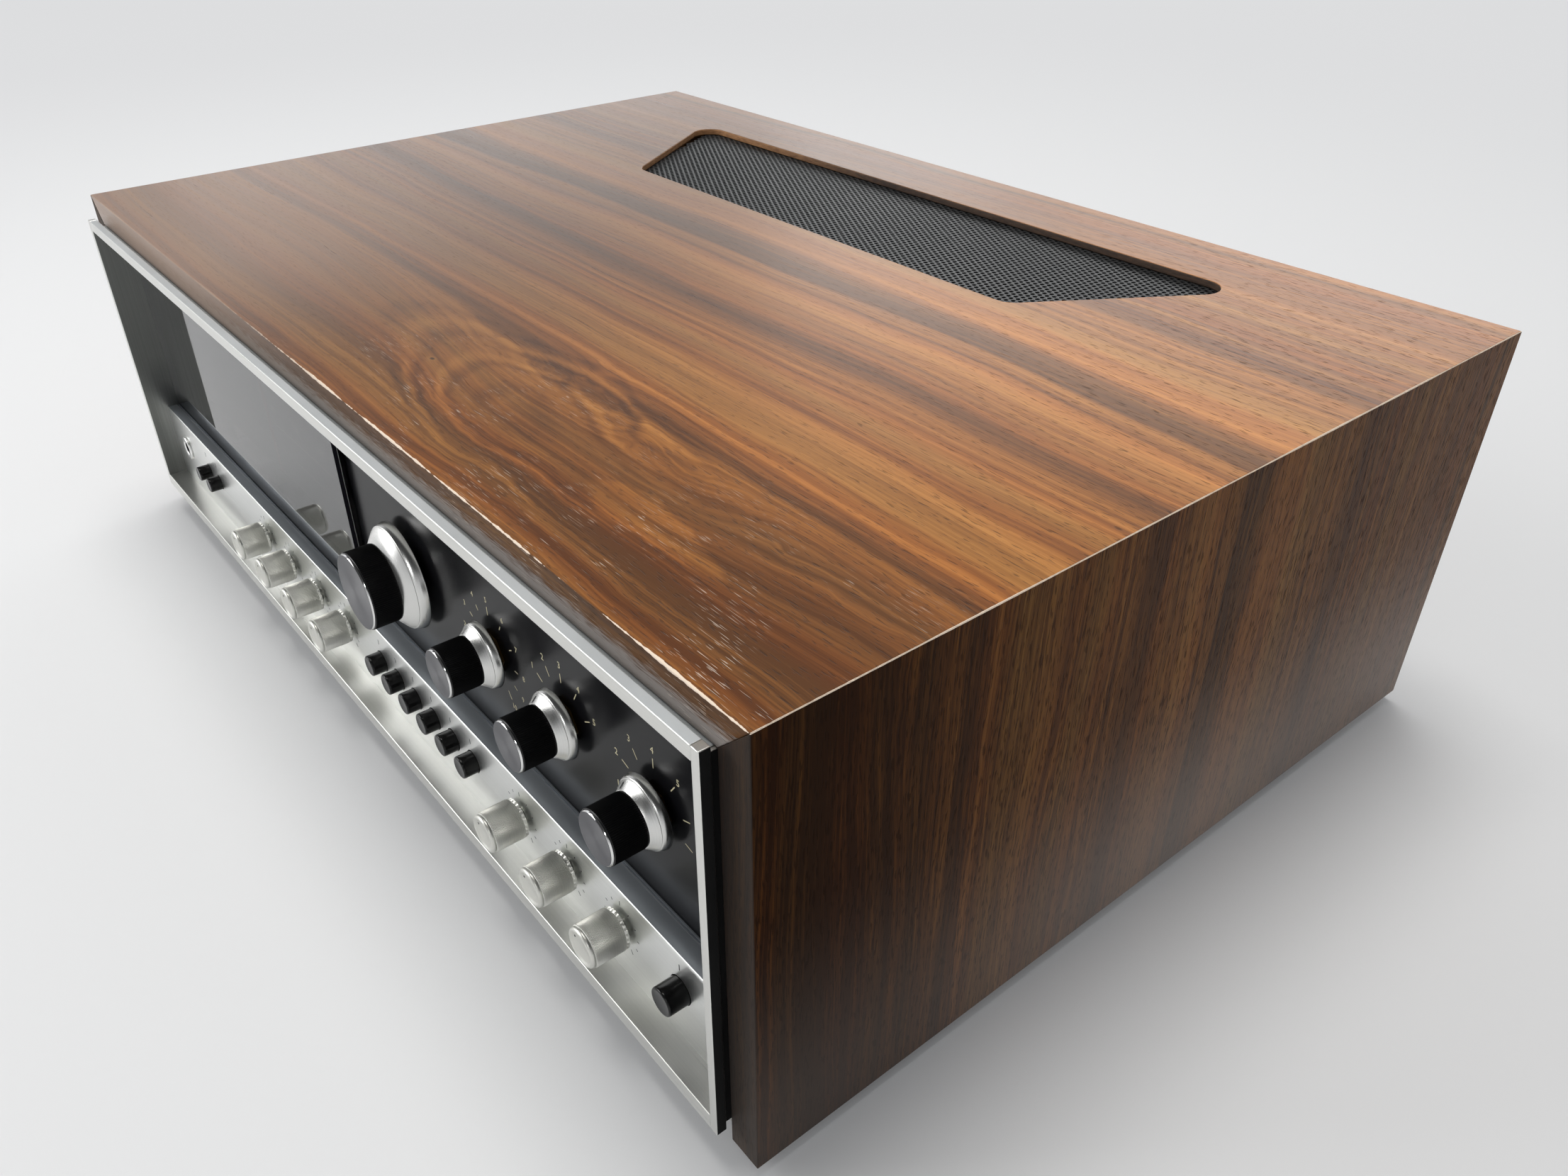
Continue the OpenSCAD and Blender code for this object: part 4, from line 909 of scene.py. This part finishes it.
def make_spindle(name, x, inner, outer, rim, cone, front_of_shaft, extra=(), pointer=None):
    """A flared skirt on its shaft, with a black line on the flank."""
    front = SKIRT_BACK - rim - cone
    edge = outer - 0.32 * rim
    play = SHAFT_R + 0.05
    bm = bmesh.new()
    profile = [
        (play, front), *near(inner, front, (-0.25, 0), (0.1, 0.12)),
        *near(edge, front + cone, (-0.55, -0.55), (-0.2, -0.22), (-0.24, -0.08), (0, 0.02), (0.22, 0.25)),
        *near(outer, SKIRT_BACK, (-0.1, -0.9), (0, -0.4), (-0.08, -0.15), (-0.3, 0)), (play, SKIRT_BACK),
    ]
    add_lathe(bm, close_ring(profile), 192)
    shaft = [(0, front_of_shaft), (SHAFT_R, front_of_shaft)]
    for low, high, radius in extra:
        shaft += [(SHAFT_R, low), (radius, low), (radius, high), (SHAFT_R, high)]
    end = extra[-1][1] + 2 if extra else SHAFT_END
    add_lathe(bm, shaft + [(SHAFT_R, end), (0, end)], 64)
    if pointer is not None:
        slope_r, slope_y = edge - 0.65 - inner, cone - 0.67
        low = Vector((inner + 0.5, front + 0.12 + slope_y * 0.4 / slope_r))
        high = Vector((edge - 0.7, front + cone - 0.55 - slope_y * 0.15 / slope_r))
        out = Vector((math.sin(pointer), 0, math.cos(pointer)))
        side = Vector((math.cos(pointer), 0, -math.sin(pointer))) * 0.3
        ends = ((low, -1), (low, 1), (high, 1), (high, -1))
        add_hull(bm, [(out * spot.x + side * sign + Vector((0, spot.y + lift, 0))) / 1000
                      for lift in (0.02, -0.22) for spot, sign in ends], 1)
    stand_in(bm, name, ("skirt", "dark_print"), name.split("_")[0], 28, mm(x, 0, KNOB_Z))


make_grip("tuning_knob", TUNING_X, 14.6, -10.5, 0.5, 120)
make_spindle("tuning_spindle", TUNING_X, 14.6, 20.6, 3.8, 4.0, -7.5,
             ((27.5, 32.5, 4.0), (36.0, 44.0, 26.0)))
for knob, rest in (("volume", -150), ("mode", -30), ("selector", -35)):
    make_grip(knob + "_knob", LARGE_X[knob], 8.8, -9.3, 2.5, 90)
    make_spindle(knob + "_spindle", LARGE_X[knob], 8.8, 12.0, 2.8, 3.0, -6.3, (), math.radians(rest))


# Small knobs

def make_small_knob(number, x):
    """A knurled knob with a raised lip round its front and a lobed shoulder at its back."""
    radius, front, back = 7.3, -12.0, 2.0
    bore, bore_end = 3.05, front + 4.0
    bm = bmesh.new()
    profile = [
        (0, front + 0.75),
        *near(radius, front, (-2.6, 0.7), (-2.0, 0.45), (-1.7, 0.12), (-1.35, 0), (-0.95, 0.08), (-0.5, 0.5),
              (-0.3, 1.1), (-0.4, 1.5), (0, 1.9)),
        *near(radius, back, (0, -1.9), (-0.45, -1.6), (-0.05, -1.1), (-0.2, -0.5), (-0.8, -0.1), (-1.4, 0)),
        (bore, back), (bore, bore_end), (0, bore_end),
    ]
    add_lathe(bm, profile, 112 * 4, fluted=(9, 10), depth=0.18, lobed=(12, 13, 14))
    add_lathe(bm, [(0, front + 4.1), (SHAFT_R, front + 4.1), (SHAFT_R, SHAFT_END), (0, SHAFT_END)], 48)
    dot = [(0, 0.0), (0.4, 0.0), (0.4, 0.3), (0, 0.3)]
    add_lathe(bm, dot, 20, index=1, offset=(-3.6, front + 0.62, 2.2))
    stand_in(bm, f"small_knob_{number}", ("knurl", "dark_print"), f"small_{number}", 40,
             mm(x, 0, ROW_Z))


for number, x in enumerate(SMALL_X, 1):
    make_small_knob(number, x)


# Buttons and headphone socket

def make_button(name, x, radius, reach):
    """A round button with a dished front, on its thin stem."""
    front, back, stem, stem_end = LOWER_Y - reach, 6.0, 1.8, 22.0
    bm = bmesh.new()
    profile = [
        (0, front + 0.25), (radius * 0.45, front + 0.2),
        *near(radius, front, (-0.9, 0.06), (-0.55, 0), (-0.2, 0.16), (-0.03, 0.5), (0, 1.1)),
        *near(radius, back, (0, -0.3), (-0.3, 0)), (stem, back), (stem, stem_end), (0, stem_end),
    ]
    add_lathe(bm, profile, 64)
    stand_in(bm, name, ("button",), name + "_body", 40, mm(x, 0, ROW_Z))


for number, x in enumerate(PAIR_X, 1):
    make_button(f"pair_button_{number}", x, 3.6, 5.8)
for number, x in enumerate(ROW_X, 1):
    make_button(f"row_button_{number}", x, 4.3, 5.8)
make_button("end_button", END_X, 4.8, 7.3)


def make_socket():
    """A socket with a bright ring and a dark bore."""
    bm = bmesh.new()
    add_lathe(bm, close_ring([
        (3.2, 2.3), (3.6, 1.95), (4.1, 1.8), (5.6, 1.8), (6.0, 2.05), (6.2, 2.5), (6.2, 3.0), (4.8, 3.0),
        (4.8, 5.0), (4.79, 29.0), (3.2, 29.0),
    ]), 72, marks=(0, 0, 0, 0, 0, 0, 0, 0, 1, 1, 1))
    add_lathe(bm, [(0, 26.8), (3.4, 26.8), (3.4, 28.9), (0, 28.9)], 32, index=1)
    stand_in(bm, "headphone_socket", ("ring", "hole"), BODY, 40, mm(SOCKET_X, 0, ROW_Z))


make_socket()


# Rear fittings

def make_phono():
    """Three blocks of eight phono jacks, red over white."""
    bm = bmesh.new()
    pitch, row_z = 17, 70
    y0, y1 = REAR_FACE + 1.5, REAR_FACE + 11.0
    shell = close_ring([
        (5.4, y0), (5.4, y0 + 0.9), (5.1, y0 + 1.2), (4.2, y0 + 1.2), (4.2, y1 - 0.4), (4.0, y1), (3.5, y1),
        (3.3, y1 - 0.4), (3.3, y0),
    ])
    insulator = close_ring([(3.2, y0), (3.2, y1 - 0.9), (1.7, y1 - 0.9), (1.7, y0)])
    well = [(0, y0 + 0.2), (1.6, y0 + 0.2), (1.6, y0 + 1.0), (0, y0 + 1.0)]
    for x in (-84.0, 0.0, 84.0):
        add_box(bm, (x - 34, REAR_FACE, row_z - pitch), (x + 34, y0, row_z + pitch), 3)
        for i in range(4):
            for row, tone in ((-0.5, 1), (0.5, 2)):
                offset = (x + (i - 1.5) * pitch, -MID_Y, row_z + row * pitch + STAND)
                add_lathe(bm, shell, 32, offset=offset)
                add_lathe(bm, insulator, 28, index=tone, offset=offset)
                # The well at the bottom of each centre hole is painted black as shade.
                add_lathe(bm, well, 16, index=4, offset=offset)
    stand_in(bm, "phono_jacks", ("chrome", "white", "red", "plastic", "hole"), BODY)


def screw_head(bm, x, z, y, radius, height, index, slot_index, turn):
    """A domed screw head on the rear, with its slot drawn as a black strip of painted shade."""
    offset = (x, -MID_Y, z + STAND)
    add_lathe(bm, [(0, y), (radius, y), (radius, y + height * 0.45), (radius * 0.8, y + height * 0.85),
                   (radius * 0.4, y + height), (0, y + height)], 28, index=index, offset=offset)
    # The slot is a black strip standing on the head, painted shade, not a cut.
    direction = Vector((math.cos(turn), 0, math.sin(turn)))
    side = Vector((-math.sin(turn), 0, math.cos(turn))) * 0.35
    ring = [direction * a * radius * 0.82 + side * b for a, b in ((-1, -1), (1, -1), (1, 1), (-1, 1))]
    lifts = (height - 0.5, height + 0.03)
    add_hull(bm, [mm(x + p.x, y + lift, z + p.z) for lift in lifts for p in ring], slot_index)


def make_terminals():
    """Strips of four screw terminals with ribs between them."""
    bm = bmesh.new()
    pitch = 9.7
    block, plate = REAR_FACE + 5, REAR_FACE + 5.6
    turns = (0.3, 1.1, 2.0, 0.8)
    for number, (x, z) in enumerate([(60 + 45 * i, 32.0) for i in range(4)] + [(-70.0, 116.0)]):
        add_box(bm, (x - 20, REAR_FACE, z - 11), (x + 20, block, z + 11))
        for i in range(5):
            rib = x - 2 * pitch + i * pitch
            add_box(bm, (rib - 0.6, block, z - 11), (rib + 0.6, block + 3, z + 11))
        for i in range(4):
            spot = x + (i - 1.5) * pitch
            add_box(bm, (spot - 3.6, block, z - 8.5), (spot + 3.6, plate, z + 8.5), 1)
            screw_head(bm, spot, z, plate, 3.3, 3.0, 1, 2, turns[(i + number) % 4])
    stand_in(bm, "terminal_strips", ("plastic", "brass", "hole"), BODY)


def make_mains():
    """Two outlets with slots, the cord gland and the fuse holder."""
    bm = bmesh.new()
    face, slot_depth, outlet_z = REAR_FACE + 5.0, 3.5, 38.0
    for x in (-190.0, -142.0):
        xs = [x + step for step in (-17, -7, -5, 5, 7, 17)]
        zs = [outlet_z + step for step in (-13, -4, 4, 13)]
        grid = {}

        def vert(i, j, deep):
            key = (i, j, deep)
            if key not in grid:
                grid[key] = bm.verts.new(mm(xs[i], face - slot_depth * deep, zs[j]))
            return grid[key]

        back = [bm.verts.new(mm(xs[i], REAR_FACE, zs[j])) for i, j in ((0, 0), (5, 0), (5, 3), (0, 3))]
        for i in range(5):
            for j in range(3):
                pocket = i in (1, 3) and j == 1
                corners = ((i, j), (i + 1, j), (i + 1, j + 1), (i, j + 1))
                # The pockets' floors and walls are painted black as shade.
                bm.faces.new([vert(*c, int(pocket)) for c in corners]).material_index = 2 if pocket else 0
                if pocket:
                    for a, b in zip(corners, corners[1:] + corners[:1]):
                        wall = (vert(*a, 0), vert(*b, 0), vert(*b, 1), vert(*a, 1))
                        bm.faces.new(wall).material_index = 2
        bm.faces.new(back)
        bm.faces.new([vert(i, 0, 0) for i in range(6)] + [back[1], back[0]])
        bm.faces.new([vert(5, j, 0) for j in range(4)] + [back[2], back[1]])
        bm.faces.new([vert(i, 3, 0) for i in range(5, -1, -1)] + [back[3], back[2]])
        bm.faces.new([vert(0, j, 0) for j in range(3, -1, -1)] + [back[0], back[3]])
    gland = [(0, 0), (8, 0), (8, 2.2), (7.6, 2.6), (5.6, 3.0), (5.2, 8.6), (4.8, 9.0), (3.6, 9.0), (3.4, 4.0),
             (0, 4.0)]
    fuse = [(0, 0), (8, 0), (8, 2.0), (7.5, 2.5), (6.2, 2.7), (6.0, 8.4), (5.5, 9.0), (0, 9.0)]
    end_x, fuse_z = -222.0, 68.0
    for z, profile in ((32.0, gland), (fuse_z, fuse)):
        add_lathe(bm, profile, 48, offset=(end_x, REAR_FACE - MID_Y, z + STAND))
    # The fuse holder's slot is a black strip of painted shade.
    add_box(bm, (end_x - 4.5, REAR_FACE + 8.2, fuse_z - 0.6),
            (end_x + 4.5, REAR_FACE + 9.03, fuse_z + 0.6), 2)
    stand_in(bm, "mains_fittings", ("plastic", "zinc", "hole"), BODY, 30)


def make_fasteners():
    """Screws of the rear panel; the other screws are inside and keep their plain heads."""
    bm = bmesh.new()
    low_z, high_z = 18.0, 140.4
    spots = [(side * 238, z) for side in (-1, 1) for z in (low_z, high_z)]
    spots += [(side * 248 / 3, high_z) for side in (-1, 1)]
    for number, (x, z) in enumerate(spots):
        screw_head(bm, x, z, REAR_FACE, 3.6, 2.2, 0, 1, 0.4 + number * 0.7)
    add_on(bm, "rear_screws", ("zinc", "hole"))


make_phono()
make_terminals()
make_mains()
make_fasteners()
dressed("rear_panel", "rear", 0.25)
dressed("ferrite_aerial", "ferrite", 0.8, body="aerial", segments=3)
dressed("feet", "rubber", 1.2, segments=3)

# Finishes of the CAD nodes that keep their own shape
for key, names in {
    "black": ["front_subpanel"], "scale": ["dial_scale"], "lamp": ["dial_lamps"], "cord": ["dial_cord"],
    # The panel bushes take the darkened brass, painted shade for the gap behind the skirts.
    "shaded_brass": ["panel_bushes"], "iron": ["power_transformer"], "sleeve": ["filter_capacitors"],
    "sink": ["heat_sink"], "board": ["circuit_boards"], "red_pointer": ["dial_pointer"],
    "zinc": ["panel_controls", "push_switches", "tuning_capacitor", "chassis", "fasteners",
             "power_transistors", "capacitor_rotor"],
}.items():
    for name in names:
        mesh = nodes[name].data
        mesh.materials.clear()
        mesh.materials.append(MATERIALS[key])


# Floor, light and camera

def make_stage():
    """A pale floor; far from the object its tone is held even for the camera, metal and glass."""
    size = 7.0
    bm = bmesh.new()
    bm.faces.new([bm.verts.new((x * size, y * size, 0)) for x, y in ((-1, -1), (1, -1), (1, 1), (-1, 1))])
    mesh = bpy.data.meshes.new("floor_mesh")
    bm.to_mesh(mesh)
    bm.free()
    net = Net("floor_paint", (0.74, 0.744, 0.75), 0.9)
    x, y, _ = net.place()
    even = net.times(net.seen(), net.span(net.far(x, y), 0.35, 1.7, 0.0, 0.9))
    pale = net.node("ShaderNodeEmission", {"Color": (0.72, 0.725, 0.735, 1.0), "Strength": 1.0})
    blend = net.node("ShaderNodeMixShader", {"Fac": even, 1: net.bsdf.outputs[0], 2: pale.outputs[0]})
    net.tree.links.new(blend.outputs[0], net.tree.nodes["Material Output"].inputs["Surface"])
    mesh.materials.append(net.mat)
    floor = put("floor", mesh)


def area_light(name, place, target, size, power, colour=(1.0, 1.0, 1.0)):
    light = bpy.data.lights.new(name, "AREA")
    light.shape = "RECTANGLE"
    light.size, light.size_y = size
    light.energy = power
    light.color = colour
    obj = put(name, light)
    obj.location = place
    obj.rotation_euler = (Vector(target) - Vector(place)).to_track_quat("-Z", "Y").to_euler()
    obj.visible_camera = False


def make_world():
    """A pale studio: even at the horizon, brightest low at the back left, dim overhead and at the front
    right. The diffuse light from it is even."""
    world = bpy.data.worlds.new("studio")
    bpy.context.scene.world = world
    world.use_nodes = True
    world.node_tree.nodes.clear()
    net = Tree(world.node_tree)
    direction = net.node("ShaderNodeTexCoord").outputs["Generated"]
    brightest = Vector((-0.72, 0.66, -0.2)).normalized()
    toward = net.node("ShaderNodeVectorMath", {0: direction, 1: brightest}, operation="DOT_PRODUCT")
    tone = net.span(toward.outputs["Value"], -0.7, 0.75, 0.50, 0.98)
    height = net.split(direction)["Z"]
    rise = net.span(height, 0.0, 0.15)
    even = net.node("ShaderNodeMix", {0: rise, 2: 0.74, 3: tone}, data_type="FLOAT").outputs[0]
    strength = net.times(even, net.span(height, 0.20, 0.50, 1.0, 0.08))
    seen = net.node("ShaderNodeBackground", {"Color": (0.97, 0.98, 1.0, 1.0), "Strength": strength})
    soft = net.node("ShaderNodeBackground", {"Color": (0.95, 0.97, 1.0, 1.0), "Strength": 0.36})
    blend = net.node("ShaderNodeMixShader", {0: net.seen(), 1: soft.outputs[0], 2: seen.outputs[0]})
    net.node("ShaderNodeOutputWorld", {"Surface": blend.outputs[0]})


def make_camera():
    """The photograph's view: place, angles, focal length and framing come from the cabinet's corners."""
    yaw, pitch, roll = math.radians(-52.06), math.radians(-34.43), math.radians(-0.76)
    forward = Vector((math.cos(pitch) * math.sin(yaw), math.cos(pitch) * math.cos(yaw), math.sin(pitch)))
    right = forward.cross(Vector((0, 0, 1))).normalized()
    up = right.cross(forward)
    axis_x = math.cos(roll) * right + math.sin(roll) * up
    axis_y = math.cos(roll) * up - math.sin(roll) * right
    data = bpy.data.cameras.new("camera")
    data.sensor_width = 36.0
    data.sensor_fit = "HORIZONTAL"
    data.lens = 28.185
    data.shift_x = 0.0177
    data.shift_y = 0.0122
    data.clip_start = 0.01
    camera = put("camera", data)
    matrix = Matrix((axis_x, axis_y, -forward)).transposed().to_4x4()
    matrix.translation = mm(417.69, -120.72, 331.02)
    camera.matrix_world = matrix
    bpy.context.scene.camera = camera


make_stage()
make_world()
area_light("key", (-0.35, 0.15, 3.1), (0.0, 0.0, 0.1), (1.6, 1.4), 58.0, (1.0, 0.985, 0.96))
area_light("front", (-2.3, -2.4, 1.5), (0.0, 0.0, 0.1), (2.0, 1.6), 54.0)
area_light("low", (-2.75, 1.63, 0.62), (0.0, 0.0, 0.15), (2.4, 0.35), 6.0)
area_light("back", (-1.45, 2.75, 1.35), (0.0, 0.0, 0.15), (2.6, 1.0), 12.0)
area_light("glint", (1.6, -2.2, 1.6), (0.0, 0.0, 0.1), (0.3, 0.3), 8.0)
make_camera()
bpy.context.scene.view_settings.view_transform = "Standard"
